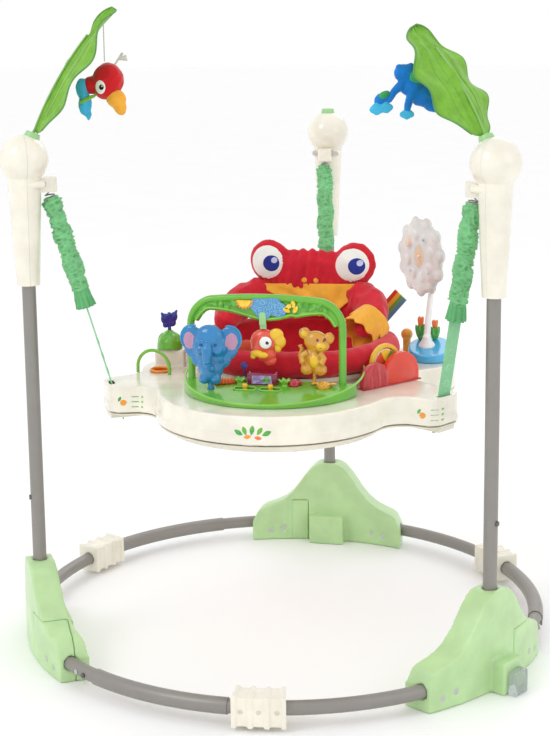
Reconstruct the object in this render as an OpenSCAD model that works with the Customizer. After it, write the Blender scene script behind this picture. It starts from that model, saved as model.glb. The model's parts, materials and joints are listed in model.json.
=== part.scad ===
// Activity jumper: a free-standing ring frame, three spring straps, a toy tray and a turning seat.
// Millimetres. +Z is up, -Y is the front. The origin lies on the floor under the footprint's centre.

/* [Base ring] */
// Radius of the base ring's centreline
ring_r = 370; // [350:1:400]
// Height of the ring tubes' centreline
ring_z = 26; // [25:1:32]
// Outside diameter of the posts and the thin ring tubes
tube_d = 19; // [17:0.5:21]
// Wall thickness of every tube
tube_wall = 1.2; // [1:0.1:1.5]
// Angle from a foot to the end of its stub tube
stub_end_a = 29.2; // [28:0.1:31]
// Angle from a foot to the far end of the thick tube
long_end_a = 60.5; // [56:0.1:61]
// Angle from a foot to the middle of the tube connector
connector_a = 66.8; // [66:0.1:70]
// Length of a tube connector along the ring
connector_l = 67; // [50:1:68]
// Height of a tube connector's body
connector_h = 38; // [34:1:42]
// Radial depth of a tube connector's body
connector_t = 34; // [28:1:38]

/* [Feet] */
// Half of a foot's span, measured straight across
foot_half = 128; // [115:1:135]
// Height of a foot at the post
foot_h = 136; // [120:1:160]
// Height of a foot's arms near their ends
foot_end_h = 50; // [46:1:60]
// Radial thickness of a foot
foot_t = 38; // [34:1:42]
// Distance from the post to the seam of the arm housing
foot_seam = 34; // [28:1:44]
// Height of the arm housing's top at the seam
foot_seam_h = 70; // [60:1:80]
// Size of the inner block, across
inner_block_w = 58; // [40:1:64]
// Size of the outer block, across
outer_block_w = 42; // [34:1:50]
// How far a block stands out of its foot
block_out = 21; // [12:1:26]
// Thickness of the clear pad on the outer block
pad_t = 13; // [6:1:16]

/* [Posts] */
// Radius of the circle that the posts stand on
post_r = 366; // [340:1:395]
// Height of the joint between the lower and upper posts
post_joint_z = 246; // [200:1:300]
// Length of the upper post's necked end
spigot_l = 60; // [45:1:80]
// Diameter of the spring buttons
button_d = 7; // [5:0.5:8]
// Travel of a spring button
button_travel = 3; // [2:0.1:3.5]

/* [Towers] */
// Height of the ball's centre
ball_z = 700; // [660:1:740]
// Radius of the ball
ball_r = 33.5; // [31:0.5:37]
// Height of the sleeve's lower end
sleeve_z = 528; // [500:1:560]
// Radius of the sleeve at its lower end
sleeve_r0 = 15.8; // [14.5:0.1:18]
// Radius of the sleeve under the ball
sleeve_r1 = 23; // [20:0.5:26]

/* [Leaves] */
// Length of the left leaf
leaf_l_left = 198; // [160:1:220]
// Length of the right leaf
leaf_l_right = 176; // [150:1:200]
// Lean of the left leaf from upright
leaf_lean_left = 34; // [28:1:40]
// Lean of the right leaf from upright
leaf_lean_right = 39; // [34:1:44]
// Width of a leaf
leaf_w = 116; // [90:1:130]
// Thickness of a leaf's cloth and filling
leaf_t = 3; // [2:0.5:5]
// How far a leaf bows out from the line between its ends
leaf_bow = 10; // [5:1:30]

/* [Suspension] */
// Distance from the axis to a spring's upper end
spring_top_r = 333; // [325:1:335]
// Height of a spring's upper end
spring_top_z = 652; // [640:1:656]
// Distance from the tray's middle to a strap where it enters its arm
strap_r = 269; // [262:1:276]
// Outside radius of a spring
spring_r = 8; // [6:0.5:8.5]
// Length of a spring, unloaded
spring_l = 146; // [120:1:150]
// Width of a strap
strap_w = 22; // [16:1:24]
// Thickness of a strap
strap_t = 2; // [1.5:0.1:2.5]
// Sideways rest of the hanging tray from the middle of the ring
tray_shift = 15; // [0:1:18]

/* [Tray] */
// Height of the tray's deck
deck_z = 384; // [370:1:396]
// Depth of the tray's side wall
tray_h = 42; // [36:1:50]
// Depth of the pan under the front lobe
pan_h = 8; // [6:1:14]
// Wall thickness of the tray shells
tray_wall = 3; // [2.5:0.1:4]
// Radius of the tray's middle disc
disc_r = 180; // [176:1:190]
// Distance from a strap to its arm's end
arm_end = 9; // [8:1:14]
// Half of an arm's width at its end
arm_half = 30; // [28:1:36]
// Radius of the front lobe
lobe_r = 162; // [150:1:170]
// Distance from the axis to the front lobe's centre
lobe_y = 131; // [125:1:140]
// Radius of the two side lobes
side_lobe_r = 78; // [72:1:84]
// Radius of the hole for the seat ring
seat_bore_r = 132; // [126:0.5:134]

/* [Seat] */
// Turn of the seat in the tray
seat_turn = -5.5; // [-45:0.5:45]
// Outer radius of the seat's bolster
bolster_r = 154; // [148:1:155]
// Thickness of the bolster's roll
bolster_t = 38; // [30:1:42]
// Height of the seat pouch's underside
pouch_z = 268; // [240:1:290]
// Half of the frog head's width
head_half = 96; // [80:1:100]
// Height of the frog head's top
head_top_z = 561; // [550:1:600]
// Radius of a leg hole
leg_hole_r = 40; // [34:1:44]

/* [Front toy] */
// Radius of the front toy's base
base_r = 125; // [120:1:130]
// Thickness of the front toy's base at its front rim
base_rim = 5; // [4:0.5:8]
// Slope of the base's top, up towards the seat
base_slope = 8; // [4:0.5:9]
// Height of the arch above the deck
arch_h = 134; // [126:1:146]
// Half of the arch's width
arch_half = 110; // [104:1:112]
// Thickness of the arch from front to back
arch_t = 10; // [7:1:12]
// Travel of a toy button
toy_button_travel = 3; // [1:0.5:3]
// Travel of a slide switch to each side
switch_travel = 8; // [4:1:9]

/* [Side toys] */
// Height of the raised block on the left
block_h = 27; // [16:1:32]
// Radius of the green dome
dome_r = 19; // [15:1:20]
// Radius of the cloud spinner
cloud_r = 61; // [45:1:62]
// Height of the cloud spinner's centre
cloud_z = 535; // [500:1:560]
// Radius of the rainbow disc
disc_toy_r = 19; // [14:0.5:20]

/* [Clearances] */
// Running clearance of pins, buttons and the seat ring, on the radius
run_gap = 0.1; // [0.05:0.01:0.1]
// Gap between soft or sliding pieces
soft_gap = 0.3; // [0.3:0.1:0.6]

/* [Hidden] */
$fn = 48;
eps = 0.01;

// Angles of the left, right and back posts
POSTS = [210, 330, 90];
post_left = POSTS[0];
post_right = POSTS[1];
post_back = POSTS[2];
LEAF_POSTS = [post_left, post_right];

tube_r = tube_d / 2;
long_tube_r = tube_r + tube_wall + 2 * run_gap;
foot_in = post_r - foot_t / 2;
foot_out = post_r + foot_t / 2;
connector_rib = 2;
connector_arc = connector_l / ring_r * 180 / PI;
foot_arc = asin(foot_half / ring_r);
tube_in_foot_a = 7;
rivet_a = stub_end_a - 5;
stub_button_a = stub_end_a - 2.6;
// Puts the footprint's middle over the origin
back_reach = max(foot_out, post_r + ball_r);
front_reach = ring_r + connector_t / 2 + connector_rib;
centre_y = (front_reach - back_reach) / 2;

socket_z = 20;
post_top_z = ball_z - 8;
spigot_r = tube_r - tube_wall - 2 * run_gap;
post_button_z = post_joint_z - 20;
button_proud = 1.8;
button_body = 6;

cap_r = 12;
cap_in = ball_r - 6;
cap_out = ball_r + 5;
leaf_foot = cap_out + 2;
wire_r = 1.5;
ferrule_r = 2;
boss_in = 24;
boss_y = 17;
boss_z = ball_z - 33;
holder_r = 11;

spring_wall = 2;
cover_r = 13;
cover_skirt_r = strap_w / 2 + 1 + 2.5;
hook_l = 14;
strap_z = deck_z - 4;
tail_z = deck_z - tray_h - 10;
slot_gap = 1;
// A strap's run from its spring's top to its arm, in its post's own directions
function strap_run(a) = [
    strap_r + tray_shift * cos(a) - spring_top_r, -tray_shift * sin(a), strap_z - spring_top_z
];
function strap_len(a) = norm(strap_run(a)) * (spring_top_z - tail_z) / (spring_top_z - strap_z);

tray_bottom_z = deck_z - tray_h;
plate_t = 3;
shell_z = tray_bottom_z + plate_t;
tray_fillet = 34;
arm_reach = strap_r + arm_end;
right_lobe = [150, 80];
left_lobe = [-142, -22];
block_a = [172, 191];
block_out_r = 203;
lip_h = 8;
collar_t = 4;
lip_z = deck_z + lip_h;
seat_flange_h = 6;
seat_keep_r = 157;
screw_ring_r = 160;

head_y = 98;
head_t = 26;
head_mid_z = 508;
head_arc = 0.5;
eye_x = 69;
eye_r = 37;
seat_top = lip_z + run_gap + seat_flange_h;
pouch_t = 4;

hang_share = 0.88;
hang_gap = 3.6;
string_r = 0.8;
knot_r = 0.9;
elephant_pin_r = 4;
monkey_pin_r = 2.5;
base_y = -128;
base_back = -162;
base_front = base_y - base_r;
arch_y = -166;
arch_x = -3;
arch_leg = 11;
arch_band = 34;
arch_top = deck_z + arch_h;
parrot_r = 20;
parrot_knuckle_r = 2.2;
parrot_stem = 8;
parrot_pin_z = arch_top - arch_band - soft_gap - parrot_knuckle_r;
elephant_at = [-72, -199];
monkey_at = [64, -171];
grub_at = [-57, -178];
beetle_at = [37, -174];
bug_at = [78, -178];
toy_button_r = 9;
toy_button_low = deck_z + toy_button_travel + 1;
toy_button_proud = 7;
switch_y = -196;
switch_x = [-26, 9];
switch_deep = 6;
switch_half = 14;
hills_at = [147.5, -80];
hills_face = -38;
hill_t = 12;
wheel_arch_t = 6;
wheel_z = deck_z + 29;
wheel_gap = 2;
dome_at = [-180, -24];
dome_z = deck_z + block_h;
cup_at = [-185, -58];
cup_r = 12;
cup_depth = 10;
hoop_at = [-190, -75];
hoop_turn = -9;
hoop_r = 25;
hoop_leg = 9;
pond_at = [190, 84];
pond_r = 33;
pond_rim = 11;
pond_slope = 15;
knob_at = [149, 127];
cloud_at = [173, 104];
cloud_a = 221;
cloud_t = 10;
stalk_foot = [184, 88];
stalk_r = 5;
stalk_back = 24;
stalk_top = [cloud_at[0] - stalk_back * cos(cloud_a), cloud_at[1] - stalk_back * sin(cloud_a), cloud_z];
band_low = [68, 150, deck_z + 3];
band_high = [188, 126, cloud_z - 6];
band_share = 0.6;

// Height of the front toy's top at a distance along Y
function base_top(y) = deck_z + base_rim + (y - base_front) * tan(base_slope);

// Places a part that belongs to the frame
module framed() translate([0, centre_y, 0]) children();

// Places a part at a post, with +X pointing outwards
module at_post(a) framed() rotate([0, 0, a]) children();

// Places a part of the tray, with the seat's axis at the middle
module on_tray() framed() translate([tray_shift, 0, 0]) children();

// Places a part of the seat, with -Y to the seat's front
module on_seat() on_tray() rotate([0, 0, seat_turn]) children();

// Turns +Z to the direction of v, and keeps +Y level
module aim(v) rotate([0, acos(v[2] / norm(v)), atan2(v[1], v[0])]) children();

// Follows a strap's line, with +Z down the line and the origin at its top
module along_strap(a) at_post(a) translate([spring_top_r, 0, spring_top_z]) aim(strap_run(a)) children();

module tube(r, h, wall) difference() {
    cylinder(r = r, h = h);
    translate([0, 0, -1]) cylinder(r = r - wall, h = h + 2);
}

// A piece of ring tube between two angles
module ring_tube(a0, a1, r) framed() translate([0, 0, ring_z]) rotate([0, 0, a0])
    rotate_extrude(angle = a1 - a0, $fn = 96) translate([ring_r, 0]) difference() {
        circle(r = r);
        circle(r = r - tube_wall);
    }

// A bore along the ring between two angles
module ring_bore(a0, a1, r) translate([0, 0, ring_z]) rotate([0, 0, a0])
    rotate_extrude(angle = a1 - a0, $fn = 96) translate([ring_r, 0]) circle(r = r);

function foot_drop(s) =
    let (over = max(0, abs(s) - foot_half + 22)) 22 * (1 - sqrt(max(0, 1 - pow(over / 22, 2))));
function foot_top(s) = foot_end_h + (foot_h - foot_end_h) / (1 + pow(abs(s) / 55, 3.4)) - foot_drop(s);

// Outline of a foot seen from the middle of the ring
module foot_outline() {
    steps = 14;
    top = [for (i = [-steps:steps]) let (s = i * foot_half / steps) [s, foot_top(s)]];
    polygon(concat(top, [[foot_half, 0], [-foot_half, 0]]));
}

// The foot's body, curved along the ring
module foot_body() intersection() {
    difference() {
        cylinder(r = foot_out, h = foot_h + 1, $fn = 96);
        translate([0, 0, -1]) cylinder(r = foot_in, h = foot_h + 3, $fn = 96);
    }
    rotate([90, 0, 90]) linear_extrude(foot_out + 10) foot_outline();
}

// The space of the separate arm housing
module arm_zone(gap) translate([foot_in - 5, foot_seam + gap, -1])
    cube([foot_t + 10, foot_half, foot_seam_h + 1 - gap]);

module foot_screw_places() for (end = [-1, 1]) for (k = [0, 1]) for (face = [0, 1])
    rotate([0, 0, end * (foot_arc - 4 - 3.4 * k)]) translate([face == 0 ? foot_in : foot_out, 0, 16 + 4 * k])
        rotate([0, face == 0 ? 90 : -90, 0]) children();

module foot_bores() {
    translate([post_r, 0, socket_z]) cylinder(r = tube_r + run_gap, h = foot_h);
    ring_bore(foot_arc - tube_in_foot_a, foot_arc + 4, tube_r + run_gap);
    ring_bore(-foot_arc - 4, -foot_arc + tube_in_foot_a, tube_r + run_gap);
    foot_screw_places() union() {
        translate([0, 0, -1]) cylinder(r = 4.6, h = 4);
        cylinder(r = 2.2, h = 9);
    }
}

module feet() color("#b9dba0") for (a = POSTS) at_post(a) difference() {
    union() {
        difference() {
            foot_body();
            arm_zone(0);
        }
        translate([foot_in - block_out, -inner_block_w / 2, 0]) cube([block_out + 4, inner_block_w, 48]);
        if (a == post_right)
            translate([foot_out - 4, -outer_block_w / 2, 0]) cube([block_out + 4, outer_block_w, 44]);
    }
    foot_bores();
}

module foot_arms() color("#b9dba0") for (a = POSTS) at_post(a) difference() {
    intersection() {
        foot_body();
        arm_zone(run_gap);
    }
    foot_bores();
    // Leaves room for the blocks
    translate([foot_in - block_out, -inner_block_w / 2, -1])
        cube([foot_t + 2 * block_out, inner_block_w, 50]);
}

module foot_pad() color("#dfe6e4") at_post(post_right)
    translate([foot_out + block_out, -14, 0]) cube([pad_t, 28, 32]);

module ring_stubs() color("#9a9590") for (a = POSTS) difference() {
    ring_tube(a + foot_arc - tube_in_foot_a + 0.2, a + stub_end_a + 5, tube_r);
    for (b = [rivet_a, stub_button_a])
        at_post(a + b) translate([ring_r, 0, ring_z]) rotate([0, 90, 0])
            cylinder(r = button_d / 2 + run_gap, h = 20);
}

module ring_long_tubes() color("#9a9590") for (a = POSTS)
    ring_tube(a + stub_end_a, a + long_end_a, long_tube_r);

module ring_short_tubes() color("#9a9590") for (a = POSTS) {
    ring_tube(a + long_end_a - 5, a + connector_a - 0.3, tube_r);
    ring_tube(a + connector_a + 0.3, a + 120 - foot_arc + tube_in_foot_a - 0.2, tube_r);
}

module connector_slice(a0, a1, grow) translate([0, 0, ring_z]) rotate([0, 0, a0])
    rotate_extrude(angle = a1 - a0, $fn = 96) translate([ring_r, 0])
        square([connector_t + 2 * grow, connector_h + 2 * grow], center = true);

module ring_connectors() color("#eee8cf") for (a = POSTS) framed() {
    a0 = a + connector_a - connector_arc / 2;
    rib_arc = 0.9;
    difference() {
        union() {
            connector_slice(a0, a0 + connector_arc, 0);
            for (k = [0, 1, 2, 3])
                connector_slice(a0 + k * (connector_arc - rib_arc) / 3,
                    a0 + k * (connector_arc - rib_arc) / 3 + rib_arc, connector_rib);
        }
        ring_bore(a0 - 1, a0 + connector_arc + 1, tube_r + run_gap);
        for (k = [-1, 0, 1]) rotate([0, 0, a + connector_a + k * connector_arc / 3])
            translate([ring_r + connector_t / 2 - 4, 0, ring_z]) rotate([0, 90, 0]) cylinder(r = 3.2, h = 10);
    }
}

module screw(head_r, shank_r, length) {
    cylinder(r = head_r, h = 2);
    translate([0, 0, 2 - eps]) cylinder(r = shank_r, h = length);
}

module frame_screws() color("#c8c8c8") {
    for (a = POSTS) {
        at_post(a) foot_screw_places() translate([0, 0, 1]) screw(4.4, 2, 5.6);
        at_post(a) for (side = [-1, 1])
            translate([post_r - boss_in - 2 - run_gap, side * boss_y, boss_z]) rotate([0, 90, 0])
                screw(3.4, 1.7, 12);
        at_post(a + rivet_a) translate([ring_r + tube_r - tube_wall, 0, ring_z]) rotate([0, 90, 0])
            cylinder(r = button_d / 2, h = tube_wall + 1);
    }
}

module button_hole(r, z) translate([0, 0, z]) rotate([0, 90, 0])
    cylinder(r = button_d / 2 + run_gap, h = r + 1);

module posts_lower() color("#8f8b86") for (a = POSTS) at_post(a) translate([post_r, 0, 0]) difference() {
    translate([0, 0, socket_z]) tube(tube_r, post_joint_z - socket_z, tube_wall);
    button_hole(tube_r, post_button_z);
}

module posts_upper() color("#8f8b86") for (a = POSTS) at_post(a) translate([post_r, 0, 0]) difference() {
    union() {
        translate([0, 0, post_joint_z]) tube(tube_r, post_top_z - post_joint_z, tube_wall);
        translate([0, 0, post_joint_z - spigot_l]) tube(spigot_r, spigot_l + 2, tube_wall);
        // The shoulder where the tube is necked down
        translate([0, 0, post_joint_z]) tube(tube_r - tube_wall / 2, 2, 2 * tube_wall);
    }
    button_hole(tube_r, post_button_z);
}

// A spring button lies on +X, with its face at the tube's outside
module spring_button(face_r) rotate([0, 90, 0]) translate([0, 0, face_r - button_body])
    cylinder(r = button_d / 2, h = button_body + button_proud);

module post_button(a) color("#d5d5d2") at_post(a) translate([post_r, 0, post_button_z]) spring_button(tube_r);
module ring_button(a) color("#d5d5d2") at_post(a + stub_button_a) translate([ring_r, 0, ring_z])
    spring_button(tube_r);
module post_button_left() post_button(post_left);
module post_button_right() post_button(post_right);
module post_button_back() post_button(post_back);
module ring_button_left() ring_button(post_left);
module ring_button_right() ring_button(post_right);
module ring_button_back() ring_button(post_back);

function leaf_l(a) = a == post_right ? leaf_l_right : leaf_l_left;
function leaf_lean(a) = a == post_right ? leaf_lean_right : leaf_lean_left;
function bow_r(a) = (pow(leaf_l(a) / 2, 2) + pow(leaf_bow, 2)) / (2 * leaf_bow);
function bow_half(a) = asin(leaf_l(a) / 2 / bow_r(a));

// Lean of the cap that a leaf stands in; the back post's cap is upright and holds no leaf
function cap_lean(a) = a == post_back ? 0 : leaf_lean(a) - bow_half(a);

// Places a part on a cap's axis, with +Z up along it and +X away from the tray
module on_cap_axis(a) at_post(a) translate([post_r, 0, ball_z]) rotate([0, -cap_lean(a), 0]) children();

// Places a part of a leaf, with +Z from the leaf's foot to its tip and +X away from the tray
module on_leaf(a) on_cap_axis(a) translate([0, 0, leaf_foot]) rotate([0, -bow_half(a), 0]) children();

// Places a part on the axis that a leaf is bent about, with +X to the leaf's foot
module on_bow(a) on_leaf(a) translate([leaf_bow - bow_r(a), 0, leaf_l(a) / 2]) rotate([90, 0, 0])
    rotate([0, 0, -bow_half(a)]) children();

module tower_solid() difference() {
    union() {
        translate([0, 0, sleeve_z])
            cylinder(r1 = sleeve_r0, r2 = sleeve_r1, h = ball_z - 22 - sleeve_z, $fn = 64);
        translate([0, 0, ball_z]) sphere(r = ball_r, $fn = 64);
    }
    translate([0, 0, sleeve_z - 1]) cylinder(r = tube_r + run_gap, h = post_top_z + 1 - sleeve_z + 1);
}

module tower_outers() color("#efe9d6") for (a = POSTS) difference() {
    at_post(a) translate([post_r, 0, 0]) intersection() {
        tower_solid();
        translate([run_gap, -ball_r - 5, sleeve_z - 5]) cube([ball_r + 5, 2 * ball_r + 10, 250]);
    }
    on_cap_axis(a) translate([0, 0, cap_in]) cylinder(r = cap_r + run_gap, h = 30);
}

// Holds the upper end of a spring
module spring_holder() {
    translate([spring_top_r, 0, spring_top_z + 3]) cylinder(r = holder_r, h = 20);
    translate([spring_top_r, -holder_r, spring_top_z + 3])
        cube([post_r - spring_top_r - 15, 2 * holder_r, 20]);
}

module tower_inners() color("#efe9d6") for (a = POSTS) difference() {
    at_post(a) difference() {
        union() {
            translate([post_r, 0, 0]) intersection() {
                tower_solid();
                translate([-ball_r - 5 - run_gap, -ball_r - 5, sleeve_z - 5])
                    cube([ball_r + 5, 2 * ball_r + 10, 250]);
            }
            spring_holder();
            for (side = [-1, 1]) translate([post_r - boss_in, side * boss_y, boss_z])
                rotate([0, 90, 0]) cylinder(r = 5.5, h = boss_in - run_gap);
        }
        translate([post_r, 0, sleeve_z - 1])
            cylinder(r = tube_r + run_gap, h = post_top_z + 1 - sleeve_z + 1);
        translate([spring_top_r, 0, spring_top_z]) cylinder(r = 9.5, h = 12);
        for (side = [-1, 1]) translate([post_r - boss_in - 1, side * boss_y, boss_z]) rotate([0, 90, 0])
            cylinder(r = 1.8, h = 14);
    }
    on_cap_axis(a) translate([0, 0, cap_in]) cylinder(r = cap_r + run_gap, h = 30);
}

module leaf_caps() color("#a9cf9a") for (a = POSTS) on_cap_axis(a) difference() {
    translate([0, 0, cap_in + run_gap]) cylinder(r1 = cap_r, r2 = cap_r - 2.5, h = cap_out - cap_in);
    translate([0, 0, cap_in + 3]) cylinder(r = ferrule_r + run_gap, h = 20);
}

module leaf_wires() color("#7fae55") for (a = LEAF_POSTS) {
    on_cap_axis(a) translate([0, 0, cap_in + 3.5]) cylinder(r = ferrule_r, h = leaf_foot - cap_in - 2.5);
    on_bow(a) rotate_extrude(angle = 1.5 * bow_half(a), $fn = 96) translate([bow_r(a), 0]) circle(r = wire_r);
}

// Half width of a leaf at a share t of its length
function leaf_half(t) = 1.5 + leaf_w / 2 * pow(sin(180 * pow(t, 0.8)), 0.8);

module leaf_outline(length) {
    steps = 12;
    side = [for (i = [0:steps]) [leaf_half(i / steps), i * length / steps]];
    other = [for (i = [steps:-1:0]) [-leaf_half(i / steps), i * length / steps]];
    polygon(concat(side, other));
}

module leaves() color("#6fc42f") for (a = LEAF_POSTS) intersection() {
    on_bow(a) difference() {
        cylinder(r = bow_r(a) - wire_r - soft_gap, h = leaf_w + 10, center = true, $fn = 96);
        cylinder(r = bow_r(a) - wire_r - soft_gap - leaf_t, h = leaf_w + 12, center = true, $fn = 96);
    }
    on_leaf(a) translate([-15, 0, 0]) rotate([90, 0, 90]) linear_extrude(leaf_bow + 20)
        leaf_outline(leaf_l(a));
}

module springs() color("#a8a8a8") for (a = POSTS) along_strap(a) {
    tube(spring_r, spring_l, spring_wall);
    cylinder(r = spring_r, h = spring_wall);
    translate([0, 0, spring_l - spring_wall]) cylinder(r = spring_r, h = spring_wall);
    translate([0, 0, -8]) cylinder(r = wire_r, h = 9);
}

module spring_covers() color("#86c08a") for (a = POSTS) along_strap(a) difference() {
    union() {
        translate([0, 0, 7]) cylinder(r = cover_r, h = spring_l - 7);
        translate([0, 0, spring_l - 6]) cylinder(r = cover_skirt_r, h = 30);
    }
    translate([0, 0, -1]) cylinder(r = spring_r + soft_gap, h = spring_l + 40);
    translate([0, 0, spring_l]) cylinder(r = cover_skirt_r - 2, h = 40);
}

module strap_hooks() color("#b0b0b0") for (a = POSTS) along_strap(a)
    translate([-2, -7, spring_l + soft_gap]) cube([4, 14, hook_l]);

module straps() color("#8cc59a") for (a = POSTS) along_strap(a)
    translate([-strap_t / 2, -strap_w / 2, spring_l + soft_gap + hook_l])
        cube([strap_t, strap_w, strap_len(a) - spring_l - hook_l]);

// Slots that the straps pass through, between two heights
module strap_slots(z0, z1) for (a = POSTS) at_post(a) {
    run = strap_run(a);
    down = (spring_top_z - (z0 + z1) / 2) / (spring_top_z - strap_z);
    lean = norm([run[0], run[1]]) / (spring_top_z - strap_z);
    deep = strap_t + 2 * slot_gap + lean * (z1 - z0);
    translate([spring_top_r + run[0] * down, run[1] * down, (z0 + z1) / 2])
        rotate([0, 0, atan2(run[1], run[0])])
        cube([deep, strap_w + 2 * slot_gap, z1 - z0], center = true);
}

module arm_shape() offset(r = 20) offset(delta = -20)
    polygon([[0, -62], [150, -58], [arm_reach, -arm_half], [arm_reach, arm_half], [150, 58], [0, 62]]);

module tray_outline(inset) offset(delta = -inset) offset(r = -tray_fillet) offset(delta = tray_fillet) {
    circle(r = disc_r, $fn = 96);
    translate([0, -lobe_y]) circle(r = lobe_r, $fn = 96);
    for (lobe = [left_lobe, right_lobe]) translate(lobe) circle(r = side_lobe_r, $fn = 72);
    for (a = POSTS) rotate([0, 0, a]) arm_shape();
}

module ring_sector(r0, r1, a0, a1, h) rotate([0, 0, a0])
    rotate_extrude(angle = a1 - a0, $fn = 96) translate([r0, 0]) square([r1 - r0, h]);

module screw_places() for (k = [0:5]) rotate([0, 0, 15 + 60 * k]) translate([screw_ring_r, 0, 0]) children();

module tray_top() color("#f1ead6") difference() {
    on_tray() difference() {
        union() {
            difference() {
                translate([0, 0, shell_z]) linear_extrude(deck_z - shell_z) tray_outline(0);
                translate([0, 0, shell_z - 1]) linear_extrude(deck_z - tray_wall - shell_z + 1)
                    tray_outline(tray_wall);
            }
            translate([0, 0, shell_z]) cylinder(r = seat_bore_r + collar_t, h = lip_z - shell_z, $fn = 96);
            translate([0, 0, deck_z - 1])
                ring_sector(seat_keep_r + 1, block_out_r, block_a[0], block_a[1], block_h + 1);
            screw_places() translate([0, 0, shell_z]) cylinder(r = 5, h = tray_h - 5);
        }
        translate([0, 0, shell_z - 2]) cylinder(r = seat_bore_r, h = 80, $fn = 96);
        screw_places() translate([0, 0, shell_z - 1]) cylinder(r = 1.6, h = 12);
        cup_hole();
    }
    strap_slots(deck_z - tray_wall - 1, deck_z + 1);
}

module tray_bottom() color("#ede5cf") difference() {
    on_tray() difference() {
        union() {
            translate([0, 0, tray_bottom_z]) linear_extrude(plate_t - run_gap) tray_outline(0.5);
            intersection() {
                translate([0, -lobe_y, tray_bottom_z - pan_h])
                    cylinder(r1 = lobe_r - 14, r2 = lobe_r - 3, h = pan_h + 1, $fn = 96);
                translate([-200, -320, tray_bottom_z - pan_h]) cube([400, 250, pan_h + 1]);
            }
        }
        intersection() {
            translate([0, -lobe_y, tray_bottom_z - pan_h + plate_t])
                cylinder(r1 = lobe_r - 16, r2 = lobe_r - 6, h = pan_h - 1, $fn = 96);
            translate([-200, -320, tray_bottom_z - pan_h]) cube([400, 247, pan_h + 10]);
            difference() {
                translate([-200, -320, 0]) cube([400, 400, 500]);
                cylinder(r = seat_bore_r + collar_t + 4, h = 500, $fn = 96);
            }
        }
        cylinder(r = seat_bore_r + collar_t, h = 500, $fn = 96);
        screw_places() cylinder(r = 1.8, h = 500);
    }
    strap_slots(tray_bottom_z - 1, tray_bottom_z + plate_t + 1);
}

module strap_locks() color("#d9d2bd") difference() {
    for (a = POSTS) on_tray() rotate([0, 0, a]) translate([strap_r - 38, -17, tray_bottom_z - 6])
        cube([44, 34, 6 - run_gap]);
    strap_slots(tray_bottom_z - 7, tray_bottom_z);
}

module tray_screws() color("#c8c8c8") on_tray() screw_places() translate([0, 0, tray_bottom_z - 2 - run_gap])
    screw(3.6, 1.5, 12);

module base_shape() intersection() {
    circle(r = base_r, $fn = 96);
    translate([-200, -200]) square([400, 200 + base_back - base_y]);
}

// All that lies above the base's sloping top
module above_base() translate([0, base_front, deck_z + base_rim]) rotate([base_slope, 0, 0])
    translate([-200, -50, 0]) cube([400, 400, 100]);

// All that lies below the base's sloping top
module below_base() translate([0, base_front, deck_z + base_rim + run_gap]) rotate([base_slope, 0, 0])
    translate([-200, -50, -100]) cube([400, 400, 100]);

module at_toy(at) translate([at[0], at[1], toy_button_low]) children();
function toy_button_h(at) = base_top(at[1]) + toy_button_proud - toy_button_low;

module grub_shape(grow, h) at_toy(grub_at) rotate([0, 0, 18])
    translate([-14 - grow, -5 - grow, 0]) cube([28 + 2 * grow, 10 + 2 * grow, h]);
module round_button_shape(at, grow, h) at_toy(at) cylinder(r = toy_button_r + grow, h = h);

module toy_base() color("#5fae2b") on_tray() difference() {
    translate([0, base_y, deck_z + run_gap]) linear_extrude(60) base_shape();
    above_base();
    cylinder(r = seat_keep_r + 1, h = 600, $fn = 96);
    translate([0, 0, -toy_button_travel - 2]) {
        grub_shape(run_gap, 60);
        round_button_shape(beetle_at, run_gap, 60);
        round_button_shape(bug_at, run_gap, 60);
    }
    for (x = switch_x) translate([x - switch_half, switch_y - 5.5, base_top(switch_y) - switch_deep])
        cube([2 * switch_half, 11, 30]);
    // Sockets of the elephant's stem and of the monkey's pin
    translate([elephant_at[0], elephant_at[1], deck_z + 4]) cylinder(r = elephant_pin_r + run_gap, h = 30);
    translate([monkey_at[0], monkey_at[1], deck_z + 4]) cylinder(r = monkey_pin_r + run_gap, h = 30);
}

module arch_outline(half, h, corner) translate([arch_x, 0]) intersection() {
    offset(r = corner) offset(delta = -corner) translate([-half, -corner]) square([2 * half, h + corner]);
    translate([-half, 0]) square([2 * half, h]);
}

module toy_arch() color("#55a52a") on_tray() difference() {
    translate([0, arch_y + arch_t / 2, deck_z]) rotate([90, 0, 0]) linear_extrude(arch_t) difference() {
        arch_outline(arch_half, arch_h, 38);
        translate([0, -eps]) arch_outline(arch_half - arch_leg, arch_h - arch_band, 24);
    }
    below_base();
}

module arch_panel() color("#7fb7d8") on_tray()
    translate([arch_x - 38, arch_y - arch_t / 2 - 2.2, arch_top - 30])
    cube([76, 2, 25]);

module drum() color("#8a2a6a") on_tray() difference() {
    translate([-26, -183, deck_z]) cube([40, 20, base_top(-183) + 16 - deck_z]);
    below_base();
}

module hoop() color("#7cc24a") on_tray() translate([hoop_at[0], hoop_at[1], deck_z + run_gap])
    rotate([0, 0, hoop_turn]) {
    for (side = [-1, 1]) translate([hoop_r * side, 0, 0]) cylinder(r = 2.4, h = hoop_leg);
    translate([0, 0, hoop_leg - eps]) rotate([90, 0, 0]) rotate_extrude(angle = 180) translate([hoop_r, 0])
        circle(r = 2.4);
}

module cup_hole() translate([cup_at[0], cup_at[1], deck_z - cup_depth - 2])
    cylinder(r = cup_r + run_gap, h = 40);
module cup() color("#f2b13a") on_tray() translate([cup_at[0], cup_at[1], deck_z - cup_depth]) difference() {
    union() {
        cylinder(r = cup_r, h = cup_depth + 1);
        translate([0, 0, cup_depth + run_gap]) cylinder(r = cup_r + 3, h = 2);
    }
    translate([0, 0, 2]) cylinder(r = cup_r - 2, h = 30);
}

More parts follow.
